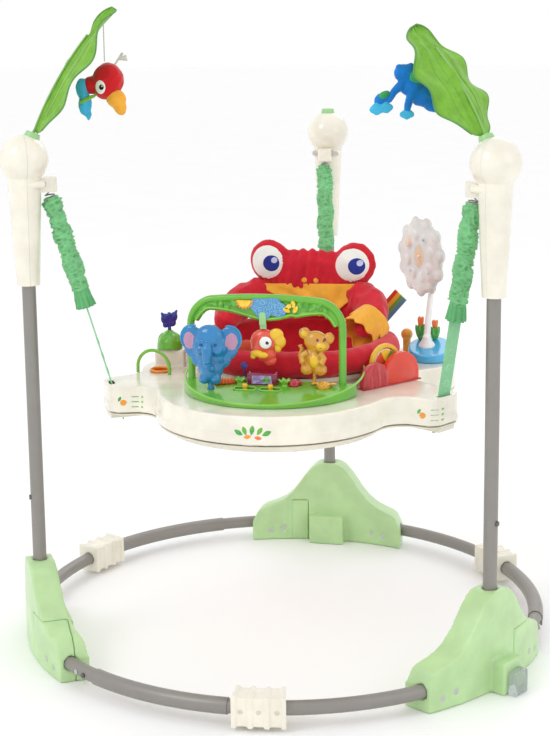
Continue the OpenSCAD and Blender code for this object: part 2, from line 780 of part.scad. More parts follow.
module dome() color("#5fae2b") on_tray() translate([dome_at[0], dome_at[1], dome_z + run_gap]) difference() {
    union() {
        cylinder(r = dome_r, h = 14);
        translate([0, 0, 14 - eps]) cylinder(r1 = dome_r, r2 = dome_r - 8, h = 14);
    }
    translate([0, 0, 18]) cylinder(r = 3 + run_gap, h = 20);
}

module butterfly() color("#27348c") on_tray() translate([dome_at[0], dome_at[1], dome_z + 18 + soft_gap]) {
    cylinder(r = 3, h = 16);
    translate([-3, -12, 14]) cube([6, 26, 22]);
}

// Places a part of the hills, with +X along the toy and +Y away from the seat
module at_hills() on_tray() translate([hills_at[0], hills_at[1], deck_z + run_gap])
    rotate([0, 0, hills_face - 90]) children();

module hill(x, r, h) translate([x, 0, 0]) intersection() {
    translate([0, hill_t, h - r]) rotate([90, 0, 0]) cylinder(r = r, h = hill_t, $fn = 64);
    translate([-100, -1, 0]) cube([200, 100, 200]);
}

module hills() color("#d93a2b") at_hills() {
    hill(27, 27, 36);
    hill(-20, 33, 44);
    // Pin of the rainbow disc
    translate([0, 1, wheel_z - deck_z]) rotate([90, 0, 0]) cylinder(r = 2, h = wheel_arch_t + 1);
}

module wheel_arch() color("#f0c62e") at_hills() translate([0, -soft_gap, wheel_z - deck_z]) rotate([90, 0, 0])
    linear_extrude(wheel_arch_t) difference() {
        circle(r = disc_toy_r + 8, $fn = 64);
        circle(r = disc_toy_r + wheel_gap, $fn = 64);
        translate([-60, deck_z - wheel_z - 100]) square([120, 100]);
        translate([-disc_toy_r - wheel_gap, deck_z - wheel_z - 1])
            square([2 * disc_toy_r + 2 * wheel_gap, wheel_z - deck_z + 1]);
    }

module rainbow_disc() color("#4aa3e0") at_hills() translate([0, -soft_gap - 0.5, wheel_z - deck_z])
    rotate([90, 0, 0])
    difference() {
        cylinder(r = disc_toy_r, h = wheel_arch_t - 2, $fn = 64);
        translate([0, 0, -1]) cylinder(r = 2 + run_gap, h = 10);
    }

// All that lies above or below the pond's sloping top
module above_pond() at_pond_rim() translate([-60, -60, 0]) cube([120, 180, 200]);
module below_pond() at_pond_rim() translate([-60, -60, run_gap - 60]) cube([120, 180, 60]);
module at_pond_rim() translate([pond_at[0], pond_at[1] - pond_r, deck_z + pond_rim])
    rotate([pond_slope, 0, 0]) children();
function pond_top(y) = deck_z + pond_rim + (y - pond_at[1] + pond_r) * tan(pond_slope);

module pond_base() color("#2f9fdc") on_tray() difference() {
    translate([pond_at[0], pond_at[1], deck_z + run_gap]) cylinder(r = pond_r, h = 60);
    above_pond();
}

module lilies() color("#3f9a3a") on_tray() difference() {
    for (p = [[173, 103, 36], [194, 106, 30]]) translate([p[0], p[1], deck_z + pond_rim]) {
        rise = pond_top(p[1]) - deck_z - pond_rim;
        cylinder(r = 7.5, h = rise + p[2] * 0.6);
        translate([0, 0, rise + p[2] * 0.6 - eps]) cylinder(r1 = 5, r2 = 1.5, h = p[2] * 0.4);
    }
    below_pond();
}

// Places a part on the cloud spinner's axle, with +Z towards the seat
module at_cloud() on_tray() translate([cloud_at[0], cloud_at[1], cloud_z]) rotate([0, 0, cloud_a])
    rotate([0, 90, 0]) children();

module cloud_stalk() color("#f4f4f2") {
    foot = [stalk_foot[0], stalk_foot[1], pond_top(stalk_foot[1])];
    on_tray() difference() {
        union() {
            translate(foot) aim(stalk_top - foot) translate([0, 0, -6])
                cylinder(r = stalk_r, h = norm(stalk_top - foot) + 12);
            translate(foot - [0, 0, 4]) cylinder(r1 = 13, r2 = 7, h = 16);
        }
        below_pond();
    }
    at_cloud() translate([0, 0, -stalk_back]) cylinder(r = 2.5, h = stalk_back + cloud_t / 2 + 3);
    at_cloud() translate([0, 0, cloud_t / 2 + soft_gap]) cylinder(r = 6, h = 3);
}

module cloud_spinner() color("#f7f7f7") at_cloud() translate([0, 0, -cloud_t / 2]) difference() {
    cylinder(r = cloud_r, h = cloud_t, $fn = 64);
    translate([0, 0, -1]) cylinder(r = 2.5 + run_gap, h = cloud_t + 2);
}

module rainbow_band() color("#d9c23f") on_tray() difference() {
    translate(band_low) aim(band_high - band_low) translate([-12, -2, -6])
        cube([24, 4, band_share * norm(band_high - band_low) + 4]);
    translate([0, 0, deck_z + run_gap - 50]) cylinder(r = 300, h = 50);
}

module deck_knob() color("#f0a52e") on_tray() translate([knob_at[0], knob_at[1], deck_z + run_gap]) {
    cylinder(r = 6, h = 26);
    translate([0, 0, 28]) sphere(r = 9);
}

module seat_ring() color("#e9e2cc") on_seat() difference() {
    union() {
        translate([0, 0, tray_bottom_z])
            cylinder(r = seat_bore_r - run_gap, h = lip_z - tray_bottom_z + 1, $fn = 96);
        translate([0, 0, lip_z + run_gap]) cylinder(r = seat_bore_r + 9, h = seat_flange_h, $fn = 96);
        translate([0, 0, tray_bottom_z]) cylinder(r = seat_bore_r + 2.5, h = plate_t - run_gap, $fn = 96);
    }
    translate([0, 0, tray_bottom_z - 1]) cylinder(r = seat_bore_r - 7, h = 100, $fn = 96);
}

module pouch_profile() {
    polygon([
        [0, pouch_z], [64, pouch_z + 6], [96, pouch_z + 34], [114, 360], [121, seat_top + 8],
            [121 - pouch_t, seat_top + 8],
        [114 - pouch_t, 361], [96 - pouch_t, pouch_z + 37], [62, pouch_z + 6 + pouch_t], [0,
            pouch_z + pouch_t]
    ]);
    translate([bolster_r - bolster_t / 2, seat_top + soft_gap + bolster_t / 2]) circle(r = bolster_t / 2);
}

module seat_pouch() color("#c4232c") on_seat() difference() {
    rotate_extrude($fn = 96) pouch_profile();
    for (side = [-1, 1]) rotate([0, 0, -90 + 48 * side]) translate([60, 0, pouch_z + 46])
        rotate([0, 98, 0]) cylinder(r = leg_hole_r, h = 120, $fn = 64);
}

module seat_back() color("#cf2630") on_seat() translate([0, head_y + head_t / 2, 0]) rotate([90, 0, 0])
    linear_extrude(head_t) {
    low = seat_top + bolster_t + 2 * soft_gap;
    intersection() {
        translate([0, head_mid_z]) scale([1, head_arc]) circle(r = head_half, $fn = 72);
        translate([-200, low]) square([400, 400]);
    }
    translate([-head_half + 8, low]) square([2 * head_half - 16, head_mid_z - low]);
    for (side = [-1, 1]) translate([side * eye_x, head_top_z - eye_r]) circle(r = eye_r);
}

module elephant() color("#1f7fc0") on_tray() translate([elephant_at[0], elephant_at[1], deck_z + 5]) {
    cylinder(r = elephant_pin_r, h = 22);
    translate([0, 11, 44]) rotate([90, 0, 0]) {
        translate([0, 23, 0]) cylinder(r = 28, h = 22);
        translate([0, -8, 3]) cylinder(r = 19, h = 16);
        for (side = [-1, 1]) translate([25 * side, 30, 8]) cylinder(r = 18, h = 5);
    }
}

module parrot() color("#e2553b") on_tray() translate([arch_x - 3, arch_y, 0]) {
    translate([0, 3, parrot_pin_z]) rotate([90, 0, 0]) cylinder(r = parrot_knuckle_r, h = 6);
    translate([-1.5, -1.5, parrot_pin_z - parrot_stem - 1]) cube([3, 3, parrot_stem + 1]);
    translate([0, 7, parrot_pin_z - parrot_stem - parrot_r]) rotate([90, 0, 0])
        cylinder(r = parrot_r, h = 14);
}

module monkey() color("#e6b93c") on_tray() translate([monkey_at[0], monkey_at[1], deck_z + 5]) {
    cylinder(r = monkey_pin_r, h = 30);
    translate([-10, -7, 28]) cube([20, 14, 30]);
    translate([-18, -8, 57]) cube([36, 16, 31]);
}

module button_grub() color("#e0601f") on_tray() grub_shape(0, toy_button_h(grub_at));
module button_beetle() color("#c21f38") on_tray() round_button_shape(beetle_at, 0, toy_button_h(beetle_at));
module button_bug() color("#f0ab1e") on_tray() round_button_shape(bug_at, 0, toy_button_h(bug_at));

module switch_knob(x) color("#f2d229") on_tray()
    translate([x, switch_y, base_top(switch_y) - switch_deep + soft_gap])
        cylinder(r = 3.6, h = switch_deep + 4);
module switch_left() switch_knob(switch_x[0]);
module switch_right() switch_knob(switch_x[1]);

// Where a string leaves a leaf's underside, out from the axis and up
function hang_at(a) = let (
    along = hang_share * leaf_l(a),
    inside = sqrt(pow(bow_r(a), 2) - pow(along - leaf_l(a) / 2, 2)) + leaf_bow - bow_r(a) - leaf_t - hang_gap
) [
    post_r - leaf_foot * sin(cap_lean(a)) - along * sin(leaf_lean(a)) + inside * cos(leaf_lean(a)),
    ball_z + leaf_foot * cos(cap_lean(a)) + along * cos(leaf_lean(a)) + inside * sin(leaf_lean(a))
];

// A plush toy on its string; off is how far it hangs inwards of the string
module plush(a, string_l, size, off) at_post(a) translate([hang_at(a)[0], 0, hang_at(a)[1]]) {
    translate([0, 0, -string_l]) cylinder(r = string_r, h = string_l);
    rotate([0, 90, 0]) cylinder(r = knot_r, h = 2 * knot_r, center = true);
    translate([-off, 0, -string_l - size[2] * sqrt(1 - pow(off / size[0], 2)) + 0.5]) scale(size)
        sphere(r = 1, $fn = 32);
}
module bird_plush() color("#d0302a") plush(post_left, 52, [38, 26, 40], 0);
module frog_plush() color("#2f6fc8") plush(post_right, 34, [44, 38, 36], 16);

feet();
foot_arms();
foot_pad();
ring_stubs();
ring_long_tubes();
ring_short_tubes();
ring_connectors();
frame_screws();
posts_lower();
posts_upper();
tower_outers();
tower_inners();
leaf_caps();
leaf_wires();
leaves();
springs();
spring_covers();
straps();
strap_hooks();
tray_top();
tray_bottom();
strap_locks();
tray_screws();
toy_base();
toy_arch();
arch_panel();
drum();
hoop();
cup();
dome();
hills();
wheel_arch();
pond_base();
lilies();
cloud_stalk();
rainbow_band();
deck_knob();
seat_ring();
seat_pouch();
seat_back();
elephant();
parrot();
monkey();
button_grub();
button_beetle();
button_bug();
switch_left();
switch_right();
butterfly();
rainbow_disc();
cloud_spinner();
bird_plush();
frog_plush();
post_button_left();
post_button_right();
post_button_back();
ring_button_left();
ring_button_right();
ring_button_back();
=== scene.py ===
"""Activity jumper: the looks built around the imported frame. Metres, +Z up, the toy arch at -Y."""
import json
import math
import random

import bpy
import numpy as np
from mathutils import Matrix, Vector, noise
from mathutils.bvhtree import BVHTree


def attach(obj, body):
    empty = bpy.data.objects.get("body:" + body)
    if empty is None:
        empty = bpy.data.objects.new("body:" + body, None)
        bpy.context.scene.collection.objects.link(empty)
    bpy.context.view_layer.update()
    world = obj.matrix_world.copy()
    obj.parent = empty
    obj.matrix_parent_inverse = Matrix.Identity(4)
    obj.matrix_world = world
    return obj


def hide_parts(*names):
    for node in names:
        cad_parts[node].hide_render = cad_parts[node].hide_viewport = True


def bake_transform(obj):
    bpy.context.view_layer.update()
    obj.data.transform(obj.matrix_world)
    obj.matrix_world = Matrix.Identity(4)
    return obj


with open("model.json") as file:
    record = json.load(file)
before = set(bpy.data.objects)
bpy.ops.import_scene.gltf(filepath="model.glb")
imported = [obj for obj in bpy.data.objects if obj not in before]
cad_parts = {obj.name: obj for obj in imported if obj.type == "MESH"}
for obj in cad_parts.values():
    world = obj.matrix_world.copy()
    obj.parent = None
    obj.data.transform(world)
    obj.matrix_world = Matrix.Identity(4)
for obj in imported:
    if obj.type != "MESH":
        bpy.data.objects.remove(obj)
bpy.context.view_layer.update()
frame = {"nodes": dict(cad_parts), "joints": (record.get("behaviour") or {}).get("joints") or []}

NODES = frame["nodes"]
JOINTS = {j["name"]: j for j in frame["joints"]}
MM = 0.001
TAU = 2 * math.pi

# Driving sizes in millimetres, as in the frame
CENTRE_Y = -5.25
POST_R, BALL_Z = 366, 700
SPRING_TOP_R, SPRING_TOP_Z, SPRING_L = 333, 652, 146
STRAP_R, STRAP_W, STRAP_T, TRAY_SHIFT = 269, 22, 2, 15
DECK = 384
HOOK_L, TAIL_Z = 14, 332
LEAF_FOOT, LEAF_W, LEAF_BOW = 40.5, 116, 10
LEAVES = {210: (198, 34), 330: (176, 39)}       # post angle: leaf length, lean from upright
POSTS = (210, 330, 90)
SEAT = Vector(JOINTS["seat_spin"]["pos_m"])
SEAT_TURN = math.radians(-5.5)


def tray(x, y, z):
    """A point of the tray, z above the floor, all in millimetres."""
    return Vector((SEAT.x + x * MM, SEAT.y + y * MM, z * MM))


def at_tray(x, y, z, turn=0.0):
    """A frame on the tray, scaled so that its own units are millimetres."""
    return Matrix.Translation(tray(x, y, z)) @ Matrix.Rotation(math.radians(turn), 4,
                                                               "Z") @ Matrix.Scale(MM, 4)


def rot(axis, degrees):
    return Matrix.Rotation(math.radians(degrees), 4, axis)


def shift(x, y, z):
    return Matrix.Translation((x, y, z))


def aim(direction):
    """A turn that takes +Z to a direction, keeping X level."""
    d = Vector(direction).normalized()
    return rot("Z", math.degrees(math.atan2(d.y, d.x))) @ rot("Y", math.degrees(math.acos(d.z)))


def at_post(a):
    return Matrix.Scale(MM, 4) @ shift(0, CENTRE_Y, 0) @ rot("Z", a)


def along_strap(a):
    """A frame at a spring's top, +Z down along its strap, in millimetres."""
    run = Vector((STRAP_R + TRAY_SHIFT * math.cos(math.radians(a)) - SPRING_TOP_R,
                  -TRAY_SHIFT * math.sin(math.radians(a)), DECK - 4 - SPRING_TOP_Z))
    return at_post(a) @ shift(SPRING_TOP_R, 0, SPRING_TOP_Z) @ aim(run), run.length


ON_SEAT = Matrix.Translation((SEAT.x, SEAT.y, 0)) @ Matrix.Rotation(SEAT_TURN, 4, "Z") @ Matrix.Scale(MM, 4)


# ---------------------------------------------------------------- shapes as (points, faces)

def grid_faces(rows, columns, around, turn=False):
    """Faces of a grid of points, closed round its rows or not."""
    faces = []
    for i in range(rows - 1):
        for k in range(columns if around else columns - 1):
            a, b = i * columns + k, i * columns + (k + 1) % columns
            quad = (a, b, b + columns, a + columns)
            faces.append(quad[::-1] if turn else quad)
    return faces


def moved(shape, matrix):
    points, faces = shape
    return [matrix @ Vector(p) for p in points], faces


def merged(*shapes):
    points, faces = [], []
    for p, f in shapes:
        base = len(points)
        points += [Vector(v) for v in p]
        faces += [tuple(i + base for i in face) for face in f]
    return points, faces


def lathe(profile, sides=48):
    """A closed solid from (radius, z) points, from its low end to its high end."""
    points = [Vector((r * math.cos(TAU * k / sides), r * math.sin(TAU * k / sides), z))
              for r, z in profile for k in range(sides)]
    faces = grid_faces(len(profile), sides, True)
    last = (len(profile) - 1) * sides
    return points, faces + [tuple(range(sides))[::-1], tuple(last + k for k in range(sides))]


def ball(centre, radii, turn=None, sides=24):
    """An ellipsoid."""
    steps = sides // 2
    profile = [(math.sin(math.pi * (i + 0.02) / (steps + 0.04)), -math.cos(math.pi * (i + 0.02) / (steps
                                                                                                   + 0.04)))
               for i in range(steps + 1)]
    place = Matrix.Translation(Vector(centre)) @ (turn or Matrix.Identity(4)) @ Matrix.Diagonal((*radii, 1))
    return moved(lathe(profile, sides), place)


def tube(path, radius, sides=16):
    """A tube along points, with one radius or one for each point."""
    path = [Vector(p) for p in path]
    radii = radius if isinstance(radius, (list, tuple)) else [radius] * len(path)
    points, normal = [], None
    for i, p in enumerate(path):
        ahead = (path[min(i + 1, len(path) - 1)] - path[max(i - 1, 0)]).normalized()
        if normal is None:
            normal = ahead.orthogonal().normalized()
        normal = (normal - ahead * normal.dot(ahead)).normalized()
        side = ahead.cross(normal)
        points += [p + (normal * math.cos(TAU * k / sides) + side * math.sin(TAU * k / sides)) * radii[i]
                   for k in range(sides)]
    last = (len(path) - 1) * sides
    faces = grid_faces(len(path), sides, True)
    return points, faces + [tuple(range(sides))[::-1], tuple(last + k for k in range(sides))]


def slab(outline, thick):
    """An outline of (x, z) points as a plate, from y = 0 back to y = thick."""
    n = len(outline)
    points = [Vector((x, y, z)) for y in (0, thick) for x, z in outline]
    faces = [tuple(range(n)), tuple(range(2 * n - 1, n - 1, -1))]
    faces += [(k, k + n, (k + 1) % n + n, (k + 1) % n) for k in range(n)]
    return points, faces


def arc(x, z, r, a0, a1, steps=16):
    return [(x + r * math.cos(math.radians(a0 + (a1 - a0) * i / steps)),
             z + r * math.sin(math.radians(a0 + (a1 - a0) * i / steps))) for i in range(steps + 1)]


# ---------------------------------------------------------------- objects

def make(name, shape, material, matrix=None, body=None, slot=None, replaces=(), smooth=True):
    """An object from a shape, riding on a body."""
    points, faces = moved(shape, matrix) if matrix is not None else shape
    mesh = bpy.data.meshes.new(name)
    mesh.from_pydata([tuple(p) for p in points], [], faces)
    mesh.validate()
    obj = bpy.data.objects.new(name, mesh)
    bpy.context.scene.collection.objects.link(obj)
    mesh.materials.append(material)
    if smooth:
        mesh.shade_smooth()
        mesh.set_sharp_from_angle(angle=math.radians(42))
    return finish_piece(obj, body, slot, replaces)


def finish_piece(obj, body=None, slot=None, replaces=()):
    """Says which body a piece rides on and the nodes it stands for; its slot is not used."""
    if body:
        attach(obj, body)
    if replaces:
        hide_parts(*replaces)
    return obj


def applied(obj):
    """Applies an object's modifiers to its mesh."""
    bpy.context.view_layer.update()
    mesh = bpy.data.meshes.new_from_object(obj.evaluated_get(bpy.context.evaluated_depsgraph_get()))
    obj.modifiers.clear()
    obj.data = mesh
    mesh.shade_smooth()
    return obj


def softening(obj, voxel, passes):
    """Adds a remesh at one voxel size and a smoothing, which round an object's edges."""
    remesh = obj.modifiers.new("Remesh", "REMESH")
    remesh.mode = "VOXEL"
    remesh.voxel_size = voxel * MM
    remesh.use_smooth_shade = True
    smooth = obj.modifiers.new("Smooth", "SMOOTH")
    smooth.iterations = passes


def softened(obj, voxel, passes):
    softening(obj, voxel, passes)
    return applied(obj)


def thickened(obj, thickness, offset=-1.0):
    """Gives a single surface its cloth's thickness."""
    thick = obj.modifiers.new("Solidify", "SOLIDIFY")
    thick.thickness, thick.offset = thickness * MM, offset
    return applied(obj)


def blob(name, shapes, material, voxel, passes, matrix=None, **place):
    """Several overlapping solids grown together into one soft form."""
    obj = make(name, merged(*shapes), material, matrix)
    softened(obj, voxel, passes)
    return finish_piece(obj, **place)


def node_copy(name, node, material):
    """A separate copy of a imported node's mesh."""
    source = NODES[node]
    mesh = source.data.copy()
    mesh.materials.clear()
    mesh.materials.append(material)
    obj = bpy.data.objects.new(name, mesh)
    bpy.context.scene.collection.objects.link(obj)
    return obj


def coords(mesh):
    flat = np.empty(len(mesh.vertices) * 3)
    mesh.vertices.foreach_get("co", flat)
    return flat.reshape(-1, 3)


def set_coords(mesh, points):
    mesh.vertices.foreach_set("co", np.asarray(points, float).ravel())
    mesh.update()


def normals(mesh):
    flat = np.empty(len(mesh.vertices) * 3)
    mesh.vertex_normals.foreach_get("vector", flat)
    return flat.reshape(-1, 3)


def puffed(obj, voxel, cap, pressure=4.0):
    """Blows a closed soft form up as padded cloth; no point moves further than cap millimetres."""
    softened(obj, voxel, 3)
    start = coords(obj.data)
    cloth = obj.modifiers.new("Cloth", "CLOTH")
    cloth.settings.use_pressure = True
    cloth.settings.uniform_pressure_force = pressure
    cloth.settings.effector_weights.gravity = 0
    cloth.settings.quality = 4
    for step in range(1, 21):
        bpy.context.scene.frame_set(step)
    solved = obj.evaluated_get(bpy.context.evaluated_depsgraph_get())
    move = coords(solved.data) - start
    obj.modifiers.remove(cloth)
    bpy.context.scene.frame_set(1)
    far = np.linalg.norm(move, axis=1, keepdims=True)
    set_coords(obj.data, start + move * np.minimum(1, cap * MM / np.maximum(far, 1e-9)))
    finer = obj.modifiers.new("Subdivision", "SUBSURF")
    finer.levels = finer.render_levels = 1
    return applied(obj)


def wrinkled(obj, height, size, stretch=(1, 1, 1), seed=0.0, keep=None):
    """Raises soft folds about so high and so far apart, in millimetres; keep(point) scales them."""
    points, ups = coords(obj.data), normals(obj.data)
    for i, p in enumerate(points):
        at = Vector((p[0] * stretch[0], p[1] * stretch[1], p[2] * stretch[2])) / (size * MM) + Vector((seed,
                                                                                                       0, 0))
        fold = 1 - 2 * abs(noise.noise(at)) * 1.6 + 0.5 * noise.noise(at * 2.3)
        points[i] = p + ups[i] * (fold - 0.6) * height * MM * (keep(p) if keep else 1)
    set_coords(obj.data, points)
    return obj


def surface_of(*objs):
    """A tree that rays can be cast on."""
    points, faces = [], []
    for obj in objs:
        base = len(points)
        points += [v.co.copy() for v in obj.data.vertices]
        faces += [tuple(i + base for i in p.vertices) for p in obj.data.polygons]
    return BVHTree.FromPolygons(points, faces)


def patch(name, tree, outline, material, matrix, lift, rings=6, **place):
    """A thin raised patch laid on a surface: outline (x, z) round its own centre, cast along its +Y."""
    rows = [[(x * i / rings, z * i / rings) for x, z in outline] for i in range(rings, 0, -1)]
    flat = [p for row in rows for p in row] + [(0, 0)]
    ahead = (matrix.to_3x3() @ Vector((0, 1, 0))).normalized()
    points = []
    for k, (x, z) in enumerate(flat):
        start = matrix @ Vector((x, 0, z))
        hit = tree.ray_cast(start, ahead)[0] or (points[-1] + ahead * lift * MM if points else start)
        points.append(hit - ahead * (-0.3 if k < len(outline) else lift) * MM)
    n = len(outline)
    faces = grid_faces(rings, n, True, True)
    faces += [((rings - 1) * n + (k + 1) % n, (rings - 1) * n + k, rings * n) for k in range(n)]
    return make(name, (points, faces), material, **place)


def oval(rx, rz, n=28):
    """An oval outline."""
    return [(rx * math.cos(TAU * k / n), rz * math.sin(TAU * k / n)) for k in range(n)]


# ---------------------------------------------------------------- materials

def colour(code):
    """A web colour as linear values."""
    parts = [int(code[i:i + 2], 16) / 255 for i in (1, 3, 5)]
    return (*[c / 12.92 if c <= 0.04045 else ((c + 0.055) / 1.055) ** 2.4 for c in parts], 1)


class Stuff:
    """A node material being put together."""

    def __init__(self, name):
        self.material = bpy.data.materials.new(name)
        self.material.use_nodes = True
        self.tree = self.material.node_tree
        self.shader = self.tree.nodes["Principled BSDF"]
        self.place = self.add("ShaderNodeTexCoord").outputs["Object"]

    def add(self, kind, **inputs):
        node = self.tree.nodes.new(kind)
        for key, value in inputs.items():
            socket = node.inputs[key.replace("_", " ")]
            if isinstance(value, bpy.types.NodeSocket):
                self.tree.links.new(value, socket)
            else:
                socket.default_value = value
        return node

    def noise(self, size, detail=3.0, rough=0.5):
        """Noise with features about so many millimetres across."""
        return self.add("ShaderNodeTexNoise", Vector=self.place, Scale=1 / (size * MM), Detail=detail,
                        Roughness=rough)

    def paint(self, factor, low, high, first, second, name="Base Color"):
        ramp = self.add("ShaderNodeValToRGB", Fac=factor)
        ramp.color_ramp.elements[0].position = low
        ramp.color_ramp.elements[1].position = high
        ramp.color_ramp.elements[0].color = first
        ramp.color_ramp.elements[1].color = second
        self.tree.links.new(ramp.outputs["Color"], self.shader.inputs[name])
        return ramp

    def rough(self, value, spread, size=9):
        ranged = self.add("ShaderNodeMapRange", Value=self.noise(size).outputs["Fac"],
                          To_Min=value - spread, To_Max=value + spread)
        self.tree.links.new(ranged.outputs["Result"], self.shader.inputs["Roughness"])

    def bump(self, height, strength, distance):
        node = self.add("ShaderNodeBump", Height=height, Strength=strength, Distance=distance * MM)
        self.tree.links.new(node.outputs["Normal"], self.shader.inputs["Normal"])

    def set(self, **inputs):
        for key, value in inputs.items():
            self.shader.inputs[key.replace("_", " ")].default_value = value


def shade(code, share):
    """A colour made lighter above 1, or darker below."""
    return (*[min(1, c * share) for c in colour(code)[:3]], 1)


def plastic(name, code, rough=0.28, clear=0.0, depth=0.0, coat=0.3):
    """Moulded plastic: faint flow marks, fine orange peel, and handling marks in its gloss."""
    s = Stuff(name)
    s.paint(s.noise(38, 4).outputs["Fac"], 0.35, 0.68, shade(code, 0.92), shade(code, 1.06))
    s.rough(rough, rough * 0.22)
    s.bump(s.noise(0.9, 2).outputs["Fac"], 0.12, 0.12)
    s.set(Coat_Weight=coat, Coat_Roughness=0.12, IOR=1.49)
    if clear:
        s.set(Transmission_Weight=clear)
    if depth:
        s.set(Subsurface_Weight=depth, Subsurface_Scale=0.006)
    return s.material


def cloth(name, code, thread=0.9, fuzz=0.35, patchy=0.14, soft=0.9):
    """Woven cloth: crossed threads, slubs, worn tone and a little sheen."""
    s = Stuff(name)
    s.paint(s.noise(16, 5, 0.6).outputs["Fac"], 0.3, 0.7, shade(code, 1 - patchy), shade(code, 1 + patchy))
    waves = [s.add("ShaderNodeTexWave", Vector=s.place, Scale=0.314 / (thread * MM) / 2, Distortion=0.6,
                   Detail=1.0)
             for _ in range(2)]
    waves[0].bands_direction, waves[1].bands_direction = "DIAGONAL", "Z"
    weave = s.add("ShaderNodeMath")
    weave.operation = "MAXIMUM"
    s.tree.links.new(waves[0].outputs["Fac"], weave.inputs[0])
    s.tree.links.new(waves[1].outputs["Fac"], weave.inputs[1])
    grain = s.add("ShaderNodeMath")
    grain.operation = "MULTIPLY_ADD"
    s.tree.links.new(s.noise(3.5, 4).outputs["Fac"], grain.inputs[0])
    grain.inputs[1].default_value = 1.6
    s.tree.links.new(weave.outputs[0], grain.inputs[2])
    s.bump(grain.outputs[0], 0.5, 0.35)
    s.rough(soft, 0.06)
    s.set(Sheen_Weight=fuzz, Sheen_Roughness=0.4, Specular_IOR_Level=0.25)
    return s.material


def metal(name, code, rough, metallic=1.0, coat=0.0):
    """Drawn or painted metal, faintly uneven in tone and gloss."""
    s = Stuff(name)
    s.paint(s.noise(24, 4).outputs["Fac"], 0.3, 0.7, shade(code, 0.97), shade(code, 1.03))
    s.rough(rough, 0.06, 5)
    s.bump(s.noise(1.3, 3).outputs["Fac"], 0.1, 0.1)
    s.set(Metallic=metallic, Coat_Weight=coat)
    return s.material


def speckled(name, first, second, size, low=0.45, high=0.55, rough=0.4):
    """Printed plastic in two mingled colours."""
    s = Stuff(name)
    s.paint(s.noise(size, 3, 0.6).outputs["Fac"], low, high, colour(first), colour(second))
    s.rough(rough, 0.06)
    s.bump(s.noise(size * 0.6, 2).outputs["Fac"], 0.2, 0.2)
    s.set(Coat_Weight=0.2)
    return s.material


